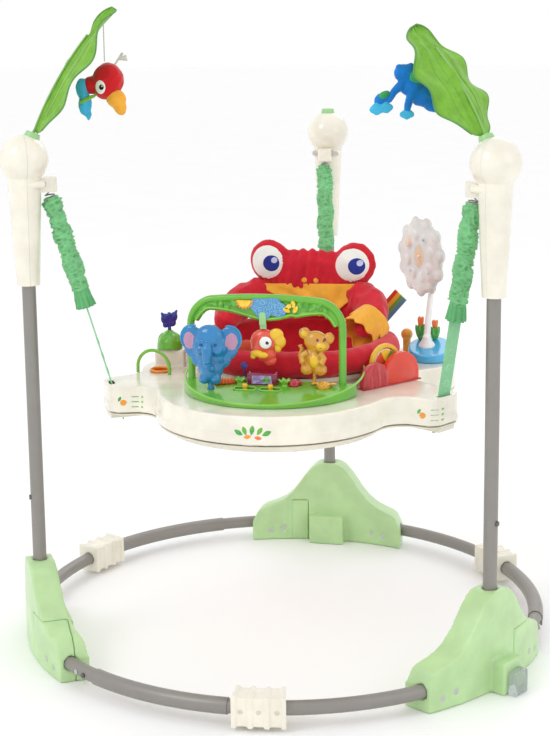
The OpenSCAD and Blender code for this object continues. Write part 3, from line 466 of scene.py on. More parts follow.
M = {
    "foot": plastic("foot_green", "#b9dba1", 0.34, depth=0.12),
    "pad": plastic("clear_pad", "#e4ecec", 0.12, clear=0.75),
    "tube": metal("grey_tube", "#8f8b86", 0.42, 0.35, 0.15),
    "cream": plastic("cream_shell", "#efeadb", 0.2, depth=0.08, coat=0.5),
    "cream_low": plastic("cream_pan", "#e6e0cd", 0.3),
    "steel": metal("bright_steel", "#c4c4c4", 0.28),
    "rivet": metal("dark_rivet", "#6f6c68", 0.4),
    "leaf": cloth("leaf_cloth", "#79b23c", 0.8, patchy=0.16),
    "leaf_dark": cloth("leaf_back_cloth", "#5f9a4a", 0.8),
    "wire": plastic("wire_coat", "#86b463", 0.5),
    "cover": cloth("cover_cloth", "#7ec489", 0.7, patchy=0.16),
    "skirt": cloth("skirt_cloth", "#67b276", 0.7, patchy=0.16),
    "web": cloth("webbing", "#8dcb9b", 1.4, 0.2, 0.07),
    "web_mark": cloth("webbing_mark", "#b4dfbd", 1.4, 0.2),
    "red": cloth("red_cloth", "#cf2233", 0.9, 0.3, 0.13),
    "coral": cloth("coral_cloth", "#ef6647", 0.9),
    "gold": cloth("gold_cloth", "#f2ae3e", 0.9, 0.3, 0.1),
    "white_cloth": cloth("white_cloth", "#f1efea", 0.8, patchy=0.03),
    "navy_cloth": cloth("navy_cloth", "#2b3590", 0.8),
    "pale_cloth": cloth("pale_cloth", "#c9cdf0", 0.8),
    "sky_cloth": cloth("sky_cloth", "#45b3dc", 0.7),
    "blue_cloth": cloth("blue_cloth", "#1577c9", 0.7, 0.5),
    "green_cloth": cloth("green_cloth", "#3f9e5c", 0.7),
    "black_cloth": cloth("black_cloth", "#17161a", 0.8),
    "bird_red": cloth("bird_red_cloth", "#c81b22", 0.7, 0.6),
    "thread": cloth("thread", "#dcdcd2", 0.3),
    "green": plastic("toy_green", "#67b432", 0.25, depth=0.06, coat=0.5),
    "green_rim": plastic("toy_green_rim", "#86c94b", 0.25),
    "green_leafy": speckled("leafy_green", "#4d9c2c", "#6dbb3c", 7),
    "lime": plastic("lime_clear", "#8ed048", 0.15, clear=0.3, depth=0.2),
    "clip": plastic("clip_green", "#9ccf8c", 0.35),
    "blue": plastic("elephant_blue", "#1583c2", 0.14, clear=0.12, depth=0.25, coat=0.7),
    "blue_edge": plastic("elephant_blue_edge", "#2f9ad4", 0.14, clear=0.2, depth=0.2),
    "mauve": plastic("ear_mauve", "#b98aa8", 0.4),
    "blue_dark": plastic("feature_blue", "#0d4f8f", 0.25),
    "parrot": plastic("parrot_red", "#e4523c", 0.2, depth=0.25, coat=0.6),
    "yellow": plastic("toy_yellow", "#f4c31f", 0.2, clear=0.08, depth=0.2, coat=0.5),
    "amber": plastic("monkey_amber", "#efb52f", 0.12, clear=0.35, depth=0.3, coat=0.7),
    "white": plastic("toy_white", "#f3f3f1", 0.25, depth=0.1),
    "black": plastic("toy_black", "#141416", 0.2),
    "navy": plastic("toy_navy", "#2a3c99", 0.35),
    "purple": plastic("drum_purple", "#8c1f46", 0.16, clear=0.15, depth=0.15, coat=0.6),
    "print_violet": speckled("drum_print", "#8b6fb0", "#b9a3d2", 5),
    "orange": plastic("toy_orange", "#ea6a22", 0.25, depth=0.15),
    "orange_light": plastic("cup_orange", "#f6a73c", 0.3),
    "ruby": plastic("beetle_ruby", "#c0182e", 0.14, clear=0.1, depth=0.2, coat=0.7),
    "bug": plastic("bug_yellow", "#f2b01f", 0.14, clear=0.15, depth=0.2, coat=0.7),
    "hill_dark": plastic("hill_red", "#c8202c", 0.14, depth=0.1, coat=0.8),
    "hill_light": plastic("hill_orange", "#e8452f", 0.22, depth=0.1),
    "sky": plastic("pond_blue", "#49aee0", 0.16, depth=0.1, coat=0.6),
    "cloud": plastic("cloud_white", "#f6f5f2", 0.16, clear=0.45, depth=0.25, coat=0.6),
    "peach": plastic("cloud_peach", "#f3d3ae", 0.4),
    "stripe_red": plastic("stripe_red", "#dd4b2c", 0.35),
    "stripe_yellow": plastic("stripe_yellow", "#f0bf3a", 0.35),
    "stripe_green": plastic("stripe_green", "#6fae5b", 0.35),
    "stripe_blue": plastic("stripe_blue", "#5f97bb", 0.35),
    "tulip": plastic("tulip_orange", "#ee7a35", 0.35),
    "stem": speckled("stem_green", "#3c9a3e", "#58b14b", 4),
    "sun": speckled("sun_yellow", "#f3c321", "#f7d64e", 6),
    "sun_edge": plastic("sun_orange", "#f09a1f", 0.35),
    "panel_blue": speckled("panel_blue", "#6fb3dc", "#4a7fb5", 1.6),
}


def dress(node, key, soften=None):
    """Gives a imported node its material, and softer edges if they are asked for."""
    obj = NODES[node]
    obj.data.materials.clear()
    obj.data.materials.append(M[key])
    obj.data.shade_smooth()
    if soften:
        softening(obj, *soften)
    else:
        obj.data.set_sharp_from_angle(angle=math.radians(35))
    return obj


# ---------------------------------------------------------------- camera, light and floor

CAMERA_AT = (0.4580, -2.1180 + CENTRE_Y * MM, 0.8738)
CAMERA_YAW, CAMERA_DOWN, CAMERA_ROLL = 0.2130, 0.1785, -0.0107


def add_camera():
    """The photograph's viewing angle."""
    camera = bpy.data.objects.new("camera", bpy.data.cameras.new("camera"))
    bpy.context.scene.collection.objects.link(camera)
    turn = Matrix.Rotation(CAMERA_YAW, 3, "Z")
    ahead = turn @ Vector((0, math.cos(CAMERA_DOWN), -math.sin(CAMERA_DOWN)))
    side = turn @ Vector((1, 0, 0))
    up = side.cross(ahead)
    c, s = math.cos(CAMERA_ROLL), math.sin(CAMERA_ROLL)
    axes = Matrix((side * c + up * s, up * c - side * s, -ahead)).transposed()
    camera.matrix_world = Matrix.Translation(CAMERA_AT) @ axes.to_4x4()
    camera.data.lens = 74.31
    camera.data.shift_x, camera.data.shift_y = -0.0108, -0.0925
    bpy.context.scene.camera = camera


def area_light(name, at, target, size, power):
    data = bpy.data.lights.new(name, "AREA")
    data.shape = "DISK"
    data.size, data.energy = size, power
    lamp = bpy.data.objects.new(name, data)
    lamp.location = at
    lamp.rotation_euler = (Vector(target) - Vector(at)).to_track_quat("-Z", "Y").to_euler()
    bpy.context.scene.collection.objects.link(lamp)


def add_studio():
    """Plain white surroundings, three soft lights and the floor."""
    world = bpy.data.worlds.new("studio")
    bpy.context.scene.world = world
    world.use_nodes = True
    world.node_tree.nodes["Background"].inputs["Color"].default_value = (1, 1, 1, 1)
    world.node_tree.nodes["Background"].inputs["Strength"].default_value = 1.0
    area_light("key", (-1.6, -2.0, 2.6), (0, 0, 0.4), 1.4, 17)
    area_light("fill", (2.4, -1.2, 1.6), (0, 0, 0.4), 1.6, 5)
    area_light("back", (0.4, 2.4, 2.2), (0, 0, 0.5), 1.6, 7)
    s = Stuff("floor")
    s.paint(s.noise(300, 3).outputs["Fac"], 0.3, 0.7, (0.975, 0.975, 0.975, 1), (0.99, 0.99, 0.99, 1))
    s.set(Roughness=0.6)
    floor = make("floor", ([Vector((x * 30, y * 30, -0.0004)) for x, y in ((-1, -1), (1, -1), (1, 1),
                                                                           (-1, 1))],
                           [(0, 1, 2, 3)]), s.material, smooth=False)
    bpy.context.scene.view_settings.view_transform = "Standard"


# ---------------------------------------------------------------- frame, towers and leaves

def dress_frame():
    """Materials for the frame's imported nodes."""
    dress("feet", "foot", (2.2, 7))
    dress("foot_arms", "foot", (2.2, 6))
    dress("foot_pad", "pad", (1.2, 4))
    for node in ("ring_stubs", "ring_long_tubes", "ring_short_tubes", "posts_lower", "posts_upper"):
        dress(node, "tube")
    dress("ring_connectors", "cream", (1.1, 3))
    dress("tower_outers", "cream")
    dress("tower_inners", "cream")
    dress("leaf_caps", "clip", (0.8, 4))
    dress("leaf_wires", "wire")
    for node in ("frame_screws", "strap_hooks", "tray_screws"):
        dress(node, "steel")
    for post in ("left", "right", "back"):
        dress(f"post_button_{post}", "rivet")
        dress(f"ring_button_{post}", "rivet")


def leaf_half(t):
    return 1.5 + LEAF_W / 2 * math.sin(math.pi * t ** 0.86) ** 0.62


def add_leaf(name, a, length, lean, wave):
    """A cloth leaf: folded along its rib, its edge puckered by its hem."""
    radius = ((length / 2) ** 2 + LEAF_BOW ** 2) / (2 * LEAF_BOW)
    half = math.degrees(math.asin(length / 2 / radius))
    place = (at_post(a) @ shift(POST_R, 0, BALL_Z) @ rot("Y", half - lean) @ shift(0, 0, LEAF_FOOT)
             @ rot("Y", -half))
    rows, columns = 74, 41
    points = []
    for i in range(rows):
        t = i / (rows - 1)
        z = t * length
        bow = math.sqrt(radius ** 2 - (z - length / 2) ** 2) + LEAF_BOW - radius
        for k in range(columns):
            v = 2 * k / (columns - 1) - 1
            edge = abs(v) ** 2.5
            width = leaf_half(t) * (0.95 + 0.04 * math.sin(wave * t * 4.3 + 2 * v))
            drop = 13 * abs(v) ** 1.3 * math.sin(math.pi * min(1, t * 1.1
                                                               + 0.05)) - 4.5 * math.exp(-(v / 0.07) ** 2)
            ruffle = edge * 5.0 * math.sin(wave * t * 4.6 + (1.7 if v > 0 else 0)) + 3.4 * noise.noise(
                Vector((t * 3.2, v * 2.6, wave))) + 1.5 * noise.noise(Vector((t * 2.5, v * 9, wave + 5)))
            points.append(place @ Vector((bow - 4.5 - drop * 0.75 + ruffle * min(1, 4 * t), v * width, z)))
    obj = make(name, (points, grid_faces(rows, columns, False)), M["leaf"])
    finish_piece(thickened(obj, 1.2, 0), "frame", "leaf_fabric")
    hem = []
    for v, order in ((0, range(2, rows)), (columns - 1, range(rows - 1, 1, -1))):
        hem += [points[i * columns + v] for i in order]
    make(name + "_hem", tube(hem, 1.3 * MM, 8), M["leaf_dark"], body="frame", slot="leaf_fabric")
    seams = []
    outward = (place.to_3x3() @ Vector((1, 0, 0))).normalized() * 0.75 * MM
    for share in (0.27, 0.4, 0.6, 0.73):
        run = [points[i * columns + round((columns - 1) * share)] + outward for i in range(7, 60, 3)]
        seams.append(tube(run, 0.5 * MM, 6))
    make(name + "_veins", merged(*seams), M["leaf"], body="frame", slot="leaf_fabric")
    return obj


def add_leaves():
    """Both cloth leaves."""
    left = add_leaf("leaf_left", 210, *LEAVES[210], 3.3)
    add_leaf("leaf_right", 330, *LEAVES[330], 4.1)
    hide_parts("leaves")


def add_springs_and_straps():
    """Gathered spring covers, their skirts, the coils inside and the webbing below."""
    covers, skirts, coils, straps, marks = [], [], [], [], []
    for n, a in enumerate(POSTS):
        place, run = along_strap(a)
        rows, sides = 150, 72
        points = []
        for i in range(rows):
            z = 5 + (SPRING_L - 7) * i / (rows - 1)
            for k in range(sides):
                th = TAU * k / sides
                at = Vector((math.cos(th) * 1.5, math.sin(th) * 1.5, z / 5.5 + 20 * n))
                crease = 1 - abs(noise.noise(at)) * 2.4 + 0.5 * noise.noise(at * 2.1)
                pinch = 1 if 4 < i < rows - 5 else 0.75
                bulge = 1.1 * math.sin(z / 7.5 + n + 1.3 * math.sin(th))
                r = (10.6 + 3.0 * crease + bulge) * pinch
                points.append(place @ Vector((r * math.cos(th), r * math.sin(th), z)))
        last = (rows - 1) * sides
        covers.append((points, grid_faces(rows, sides, True) + [tuple(range(sides))[::-1],
                                                               tuple(last + k for k in range(sides))]))
        flare = []
        for i in range(16):
            t = i / 15
            for k in range(sides):
                th = TAU * k / sides
                r = 10 + 3.0 * t + (0.6 + 1.2 * t) * math.cos(11 * th + n) + 0.8 * noise.noise(
                    Vector((th * 2, t * 3, n)))
                flare.append(place @ Vector((r * math.cos(th), r * math.sin(th), SPRING_L - 8 + 27 * t)))
        skirts.append((flare, grid_faces(16, sides, True)))
        turns = 40
        coil = [place @ Vector((6.6 * math.cos(TAU * i / 14), 6.6 * math.sin(TAU * i / 14),
                                1 + (SPRING_L - 2) * i / (14 * turns))) for i in range(14 * turns + 1)]
        coils.append(tube([place @ Vector((0, 0, -8)), place @ Vector((0, 0, -2))] + coil, 1.1 * MM, 6))
        low = run * (SPRING_TOP_Z - TAIL_Z) / (SPRING_TOP_Z - DECK + 4)
        steps = 60
        ribbon = []
        for i in range(steps + 1):
            z = SPRING_L + 0.3 + HOOK_L + (low - SPRING_L - HOOK_L) * i / steps
            for x, y in ((-1, -1), (-1, -0.5), (-1, 0), (-1, 0.5), (-1, 1), (1, 1), (1, 0.5), (1, 0),
                         (1, -0.5), (1, -1)):
                thick = STRAP_T / 2 * (0.7 if abs(y) == 1 else 1)
                ribbon.append(place @ Vector((x * thick, y * STRAP_W / 2, z)))
        end = steps * 10
        straps.append((ribbon, grid_faces(steps + 1, 10, True) + [tuple(range(10))[::-1],
                                                                 tuple(end + k for k in range(10))]))
        for k in range(3):
            middle = place @ shift(0, 0, run - 22 - 22 * k)
            for face in (1.1, -1.1):
                ring = [middle @ Vector((face, 4.6 * math.cos(TAU * i / 20), 4.6 * math.sin(TAU * i / 20)))
                        for i in range(21)]
                marks.append(tube(ring, 0.45 * MM, 6))
    for name, shapes, key, slot, node in (
            ("spring_sleeves", covers, "cover", "mint_fabric", "spring_covers"),
            ("sleeve_skirts", skirts, "skirt", "mint_fabric", None),
            ("spring_coils", coils, "steel", "bright_steel", "springs")):
        obj = make(name, merged(*shapes), M[key])
        if name == "sleeve_skirts":
            thickened(obj, 1.0)
        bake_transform(obj)
        finish_piece(obj, None, slot, (node,) if node else ())
    for name, shapes, key, node in (("strap_webs", straps, "web", "straps"), ("strap_marks", marks,
                                                                              "web_mark", None)):
        obj = make(name, merged(*shapes), M[key])
        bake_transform(obj)
        finish_piece(obj, None, "mint_webbing", (node,) if node else ())


# ---------------------------------------------------------------- tray

def add_tray():
    """The moulded tray, with soft shoulders and a step line round its skirt."""
    shell = node_copy("tray_shell", "tray_top", M["cream"])
    softened(shell, 2.0, 12)
    points, ups = coords(shell.data), normals(shell.data)
    z = points[:, 2] / MM
    from_seat = np.hypot(points[:, 0] - SEAT.x, points[:, 1] - SEAT.y) / MM
    front = np.clip((-(points[:, 1] - SEAT.y) / MM - 100) / 40, 0, 1)
    line = DECK - 34 + 11 * front * front * (3 - 2 * front)
    below = np.clip((line - z) / 1.2, 0, 1)
    skirt = (np.abs(ups[:, 2]) < 0.6) & (from_seat > 145) & (z < DECK - 6)
    push = np.where(skirt, 1.3 * below, 0)[:, None] * MM
    level = ups.copy()
    level[:, 2] = 0
    set_coords(shell.data, points + level * push)
    finish_piece(shell, "tray", "cream_plastic", ("tray_top",))
    pan = node_copy("tray_pan", "tray_bottom", M["cream_low"])
    softened(pan, 2.0, 5)
    finish_piece(pan, "tray", "cream_plastic", ("tray_bottom",))
    dress("strap_locks", "cream_low")
    dress("seat_ring", "cream_low")
    return shell


def leaf_mark(length, width, turn):
    """The outline of a small pointed leaf."""
    n = 9
    side = [(length * i / n - length / 2, width / 2 * math.sin(math.pi * i / n) ** 0.8) for i in range(n
                                                                                                       + 1)]
    outline = side + [(x, -z) for x, z in side[-2:0:-1]]
    c, s = math.cos(math.radians(turn)), math.sin(math.radians(turn))
    return [(x * c - z * s, x * s + z * c) for x, z in outline]


def add_tray_marks(shell):
    """Plain height marks on both arms, and a sprig on the front, all generic."""
    tree = surface_of(shell)

    def mark(name, outline, key, x, y, z, facing, lift=0.25, rings=3):
        matrix = at_tray(x, y, z, facing)
        patch(name, tree, outline, M[key], matrix, lift, rings, body="tray", slot="cream_plastic")

    for side, x, y, facing in (("left", -205, -205, 0), ("right", 212, -205, 0)):
        for k in range(3):
            z = DECK - 15 - 7 * k
            mark(f"mark_line_{side}_{k}", [(-6, -0.6), (6, -0.6), (6, 0.6), (-6, 0.6)], "stem", x + 12, y,
                 z, facing)
            mark(f"mark_dot_{side}_{k}", oval(2.0, 2.0, 14), "green_rim", x + 22, y, z, facing)
        mark(f"mark_sun_{side}", oval(5.5, 5.0, 16), "sun_edge", x - 4, y, DECK - 23, facing)
        mark(f"mark_leaf_{side}", leaf_mark(10, 5, 60), "stem", x - 9, y, DECK - 18, facing)
    for k, (dx, dz, turn, size, key) in enumerate((
            (-16, 3, 150, 15, "stem"), (-8, 6, 110, 14, "green"), (2, 7, 80, 15, "stem"), (12, 6, 55, 14,
                                                                                           "green"),
            (21, 3, 25, 15, "stem"), (-4, -2, 10, 12, "sun_edge"), (10, -3, -10, 12, "tulip"))):
        mark(f"mark_sprig_{k}", leaf_mark(size, size * 0.5, turn), key, dx + 4, -330, DECK - 24 + dz, 0,
             0.3)


# ---------------------------------------------------------------- seat

def add_seat():
    """The cushion, the head that rises behind it, and their small parts."""
    pouch = node_copy("seat_cushion", "seat_pouch", M["red"])
    puffed(pouch, 4.5, 6)

    def low(p):
        return 0.5 + 0.5 * min(1, max(0, (0.44 - p[2]) / 0.03))
    wrinkled(pouch, 1.5, 34, (1, 1, 0.6), 3.0, low)
    finish_piece(pouch, "seat", "red_fabric", ("seat_pouch",))

    body = [ball((0, 98, 505), (97, 14, 47)), ball((-68, 98, 524), (37, 16, 37)), ball((68, 98, 524),
                                                                                       (37, 16, 37)),
            ball((0, 100, 474), (90, 13, 46)), ball((-60, 99, 470), (34, 12, 36)), ball((60, 99, 470),
                                                                                        (34, 12, 36))]
    head = make("seat_head", merged(*body), M["red"], ON_SEAT)
    puffed(head, 4.0, 6)
    points, ups = coords(head.data), normals(head.data)
    inverse = ON_SEAT.inverted()
    for i, p in enumerate(points):
        x, y, z = inverse @ Vector(p)
        centre = math.exp(-(x / 34) ** 2)
        fold = centre * (2.0 * math.cos(x * 0.42 + 0.6 * math.sin(z * 0.08)) - 1.2) * min(1,
                                                                                          max(0, (z - 488) / 20))
        gather = 1.4 * math.exp(-((z - 492) / 8) ** 2) * math.cos(x * 0.55)
        points[i] = p + ups[i] * (fold + gather) * MM
    set_coords(head.data, points)
    wrinkled(head, 0.7, 30, (1, 1, 1), 9.0)
    finish_piece(head, "seat", "red_fabric", ("seat_back",))

    tree = surface_of(head)
    for side, name in ((-1, "left"), (1, "right")):
        for part, key, dx, dz, r, lift in (("rim", "white_cloth", 0, 0, 26, 0.9), ("pupil", "navy_cloth", 8,
                                                                                   -1, 13.5, 1.5),
                                           ("glint", "pale_cloth", 13, 4, 5, 2.1)):
            matrix = ON_SEAT @ shift(side * 66 + dx, 60, 524 + dz)
            patch(f"eye_{part}_{name}", tree, oval(r, r * 0.98, 36), M[key], matrix, lift, 8,
                  body="seat", slot="red_fabric")
    for side, name in ((-1, "left"), (1, "right")):
        patch(f"nostril_{name}", tree, oval(4.6, 4.2, 20), M["gold"],
              ON_SEAT @ shift(side * 9 + 2, 60, 499), 1.4, 3, body="seat", slot="red_fabric")

    add_throat()
    add_arms()


def add_throat():
    """The gold cloth under the chin, with slack folds that run to its point."""
    rows, columns = 30, 60
    points = []
    for i in range(rows):
        t = i / (rows - 1)
        for k in range(columns):
            u = 2 * k / (columns - 1) - 1
            left, right = -82 + 100 * t ** 1.1, 88 - 52 * t ** 1.2
            x = (left + right) / 2 + u * (right - left) / 2
            z = 494 - 46 * t + 3 * u * (1 - t)
            fold = 2.6 * math.sin(5 * u + 3.5 * t) + 1.3 * math.sin(11 * u - 5 * t + 1) + 0.8 * noise.noise(
                Vector((u * 4, t * 4, 1)))
            y = 80 - 12 * t - fold * (0.3 + 0.7 * math.sin(math.pi * min(1, 0.15 + t)))
            points.append(ON_SEAT @ Vector((x, y, z)))
    obj = make("seat_throat", (points, grid_faces(rows, columns, False)), M["gold"])
    finish_piece(thickened(obj, 1.2), "seat", "red_fabric")


def add_arms():
    """The padded arms that come round from the head, with a frilled gold cuff on the right one."""
    for side, name in ((-1, "left"), (1, "right")):
        path = [(side * 74, 92, 478), (side * 92, 78, 470), (side * 104, 56, 460), (side * 110, 30, 452),
                (side * 106, 4, 446)]
        arm = make(f"seat_arm_{name}", merged(tube(path, [24, 27, 26, 22, 17], 24),
                                             ball(path[-1], (17, 17, 14)), ball(path[0], (24, 20, 22)),
                                             ball((side * 66, 86, 462), (36, 16, 26))), M["red"], ON_SEAT)
        puffed(arm, 4.0, 4)
        wrinkled(arm, 1.6, 24, (1.4, 0.6, 1), 5.0 + side)
        finish_piece(arm, "seat", "red_fabric")
    frills = []
    for n, (centre, radius, length) in enumerate((((114, 34, 454), 29, 27), ((109, 12, 451), 27, 25))):
        place = ON_SEAT @ shift(*centre) @ aim(Vector((-0.34, -0.66, -0.5)))
        rows, sides = 14, 108
        points = []
        for i in range(rows):
            t = i / (rows - 1)
            for k in range(sides):
                th = TAU * k / sides
                r = radius + 6 * t + 2.4 * t * math.cos(9 * th + n) + noise.noise(Vector((th * 2, t, n)))
                points.append(place @ Vector((r * math.cos(th), 0.8 * r * math.sin(th),
                                              t * (length + 3 * math.cos(9 * th + n)))))
        frills.append((points, grid_faces(rows, sides, True)))
    cuff = make("seat_cuff", merged(*frills), M["gold"])
    finish_piece(thickened(cuff, 1.4), "seat", "red_fabric")
    rows, columns = 10, 40
    points = []
    for i in range(rows):
        for k in range(columns):
            a = math.radians(200 + 75 * k / (columns - 1))
            r = 126 - i
            points.append(ON_SEAT @ Vector((r * math.cos(a), r * math.sin(a), 446 - 5 * i
                                            + 1.5 * math.sin(k * 0.9))))
    coral = make("seat_lining", (points, grid_faces(rows, columns, False)), M["coral"])
    finish_piece(thickened(coral, 1.4), "seat", "red_fabric")


# ---------------------------------------------------------------- front toy

BASE_Y, BASE_R, BASE_RIM, BASE_SLOPE = -128, 125, 5, 8
ARCH_X, ARCH_Y, ARCH_TOP, ARCH_HALF = -3, -166, 518, 110
ELEPHANT, MONKEY, PARROT_X = (-72, -199), (64, -171), -6
GRUB, BEETLE, BUG = (-57, -178), (37, -174), (78, -178)
SWITCH_Y, SWITCH_X = -196, (-26, 9)


def base_top(y):
    """The height of the base's sloping top."""
    return DECK + BASE_RIM + (y - BASE_Y + BASE_R) * math.tan(math.radians(BASE_SLOPE))


def toy(name, shapes, key, body, slot, voxel=1.2, passes=3, matrix=None, replaces=()):
    """A moulded toy grown from overlapping solids."""
    return blob(name, shapes, M[key], voxel, passes, matrix, body=body, slot=slot, replaces=replaces)


def add_base():
    """The front toy's base with its pale rim, and the two slide switches."""
    dress("toy_base", "green", (1.3, 4))
    ground = at_tray(0, 0, 0)
    rim = [Vector((BASE_R * 0.985 * math.cos(t), BASE_Y + BASE_R * 0.985 * math.sin(t),
                   base_top(BASE_Y + BASE_R * 0.985 * math.sin(t)) - 0.6))
           for t in [math.radians(-197 + 214 * k / 80) for k in range(81)]]
    make("base_rim", tube(rim, 1.7, 10), M["green_rim"], ground, "tray", "green_plastic")
    for n, x in enumerate(SWITCH_X):
        loop = [(x + sx + 5 * math.cos(t), SWITCH_Y + 5.8 * math.sin(t))
                for sx, a0 in ((10, -90), (-10, 90)) for t in [math.radians(a0 + 180 * k / 12)
                                                               for k in range(13)]]
        loop.append(loop[0])
        rail = [Vector((px, py, base_top(py) + 0.3)) for px, py in loop]
        make(f"switch_rim_{n}", tube(rail, 1.3, 8), M["green_rim"], ground, "tray", "green_plastic")
        low = base_top(SWITCH_Y) - 5.4
        knob = lathe([(3.4, low), (3.5, low + 5), (2.7, low + 6), (3.9, low + 8), (4.2, low + 10.5),
                      (2.8, low + 12.6),
                      (0.3, low + 13.2)], 28)
        side = ("left", "right")[n]
        make(f"switch_knob_{side}", knob, M["yellow"], ground @ shift(x, SWITCH_Y, 0), f"switch_{side}",
             "yellow_plastic", (f"switch_{side}",))


def add_arch():
    """The arch over the front toy: two rails, a leafy band, the picture and the parrot's clip."""
    place = at_tray(ARCH_X, ARCH_Y, 0)
    leg = ARCH_HALF - 5.5
    outer = [(-leg, DECK + 9)] + [(-leg, z) for z in range(DECK + 20, ARCH_TOP - 38, 12)]
    outer += arc(-leg + 36, ARCH_TOP - 41, 36, 180, 90, 12)[1:]
    outer += [(x, ARCH_TOP - 5 + 3 * (1 - (x / 68) ** 2)) for x in range(-56, 57, 8)]
    outer += [(-x, z) for x, z in outer[len(outer) - 16::-1] if x < -60]
    leg_count = sum(1 for x, z in outer if x <= -leg + 0.01)
    inner = [(x, ARCH_TOP - 17 - 13.5 * math.exp(-((x - 2) / 42) ** 2) - (3 if x > 40 else 0)
              - 22 * max(0, (abs(x) - 76) / 22) ** 2) for x in range(-96, 97, 6)]
    tubes = [tube([(x, 0, z) for x, z in outer], 5.2, 16), tube([(x, -0.5, z) for x, z in inner], 3.6, 14)]
    band = outer[leg_count:-leg_count] + inner[::-1]
    web = moved(slab(band, 5), shift(0, -2.5, 0))
    toy("arch_frame", tubes + [web, ball((-leg, 0, DECK + 12), (8, 7, 5)), ball((leg, 0, DECK + 12),
                                                                                (8, 7, 5))],
        "green", "tray", "green_plastic", 1.1, 2, place, ("toy_arch",))
    rails = [tube([(x, -4.6, z + 0.5) for x, z in inner], 1.5, 10)]
    make("arch_rails", merged(*rails), M["green_rim"], place, "tray", "green_plastic")
    rng = random.Random(4)
    leaves = []
    for x in range(-88, 92, 9):
        if abs(x) < 30:
            continue
        z = ARCH_TOP - 12 + rng.uniform(-3, 2) - (10 if abs(x) > 80 else 0)
        turn = rng.uniform(-60, 60) + (90 if x > 0 else -90)
        leaves.append(moved(slab(leaf_mark(15, 7, turn), 2.2), shift(x, -4.4 + rng.uniform(-0.3, 0.3), z)))
    make("arch_leaves", merged(*leaves), M["green_leafy"], place, "tray", "green_plastic")
    cloud = arc(-2, ARCH_TOP - 20, 11, 200, 340, 8) + arc(20, ARCH_TOP - 17, 10, 250, 400, 8)
    cloud += arc(14, ARCH_TOP - 9, 8, 20, 110, 5) + [(-16, ARCH_TOP - 3), (-22, ARCH_TOP - 12)]
    panel = moved(slab(cloud, 2.4), shift(0, -6.6, 0))
    make("arch_picture", panel, M["panel_blue"], place, "tray", "picture_print", ("arch_panel",))
    burst = [((13 if k % 2 else 10.5) * math.cos(t), (13 if k % 2 else 10.5) * math.sin(t))
             for k, t in [(k, math.radians(180 + 180 * k / 16)) for k in range(17)]]
    make("arch_sun_rays", slab(burst, 2.4), M["sun_edge"], place @ shift(-28, -7.2, ARCH_TOP - 5), "tray",
         "picture_print")
    make("arch_sun", slab(arc(0, 0, 9, 180, 360, 18), 2.6), M["sun"], place @ shift(-28, -8.0,
                                                                                    ARCH_TOP - 5.4),
         "tray", "picture_print")
    sprig = [moved(slab(leaf_mark(11, 6, t), 2.2), shift(x, -7.2, z)) for x, z, t in
             ((33, ARCH_TOP - 12, 30), (39, ARCH_TOP - 9, 100), (30, ARCH_TOP - 17, -30),
              (42, ARCH_TOP - 16, 60))]
    make("arch_sprig", merged(*sprig), M["sun"], place, "tray", "picture_print")
    clip = slab([(-4.5, 480), (4.5, 480), (4.5, 491), (3.6, 497), (-3.6, 497), (-4.5, 491)], 1.6)
    hook = moved(slab([(-4.2, 474), (4.2, 474), (4.2, 482), (-4.2, 482)], 2.4), shift(0, 0.5, 0))
    make("parrot_clip", clip, M["clip"], at_tray(PARROT_X, ARCH_Y - 7.2, 0), "tray", "green_plastic")
    make("parrot_tab", hook, M["clip"], at_tray(PARROT_X, ARCH_Y - 4.6, 0), "parrot", "green_plastic")


def add_elephant():
    """The turning elephant, with ears, trunk and eyes."""
    place = at_tray(*ELEPHANT, DECK)
    shapes = [ball((0, 0, 72), (25, 13, 24)), ball((0, -3, 83), (20, 12, 17)), ball((0, 1, 42), (18, 10.5,
                                                                                                 20)),
              ball((0, -4, 38), (13, 9, 14)), ball((0, 0, 56), (20, 10, 16)), lathe([(4, 5.5), (4, 24)],
                                                                                    20)]
    for side in (-1, 1):
        shapes += [ball((side * 26, 4, 80), (15, 4, 17)), ball((side * 22, 4, 66), (15, 4, 15)),
                   ball((side * 16, 3, 54), (12, 5, 14)), ball((side * 8, -4, 27), (7.5, 7, 8)),
                   ball((side * 11, -8, 66), (8, 6, 7))]
    path = [(0, -12, 76), (0, -16, 69), (0, -17.5, 61), (0, -17, 53), (1, -14.5, 46), (4, -12.5, 42),
            (8, -12, 43)]
    shapes.append(tube(path, [6, 7.5, 7, 6, 5, 4.4, 4], 18))
    body = toy("elephant_body", shapes, "blue", "elephant", "blue_plastic", 1.1, 3, place, ("elephant",))
    tree = surface_of(body)
    look = {"body": "elephant", "slot": "blue_plastic"}
    edges, folds = [], []
    for side in (-1, 1):
        patch(f"elephant_ear_{side + 1}", tree, oval(8.5, 12.5), M["mauve"],
              place @ shift(side * 29.5, -50, 77), 0.5, 5, **look)
        patch(f"elephant_eye_{side + 1}", tree, oval(2.6, 2.0, 16), M["blue_dark"],
              place @ shift(side * 10, -50, 74), 0.9, 3, **look)
        ear = [(side * (26 + 15.4 * math.cos(t)), 4, 80 + 17.2 * math.sin(t))
               for t in [math.radians(-50 + 160 * k / 20) for k in range(21)]]
        ear = [(side * 20, 4, 52), (side * 30, 4, 57)] + ear
        edges.append(tube(ear, 1.5, 10))
        folds.append(tube([(side * 5, -14.5, 79.5), (side * 10, -13.6, 81), (side * 14, -12, 79)], 1.1, 8))
    for k in range(4):
        z = 64 - 5 * k
        folds.append(tube([(-5.2, -21, z), (0, -24.6 + 0.8 * k, z - 1), (5.2, -21, z)], 0.7, 8))
    make("elephant_edges", merged(*edges), M["blue_edge"], place, **look)
    make("elephant_folds", merged(*folds), M["blue_edge"], place, **look)


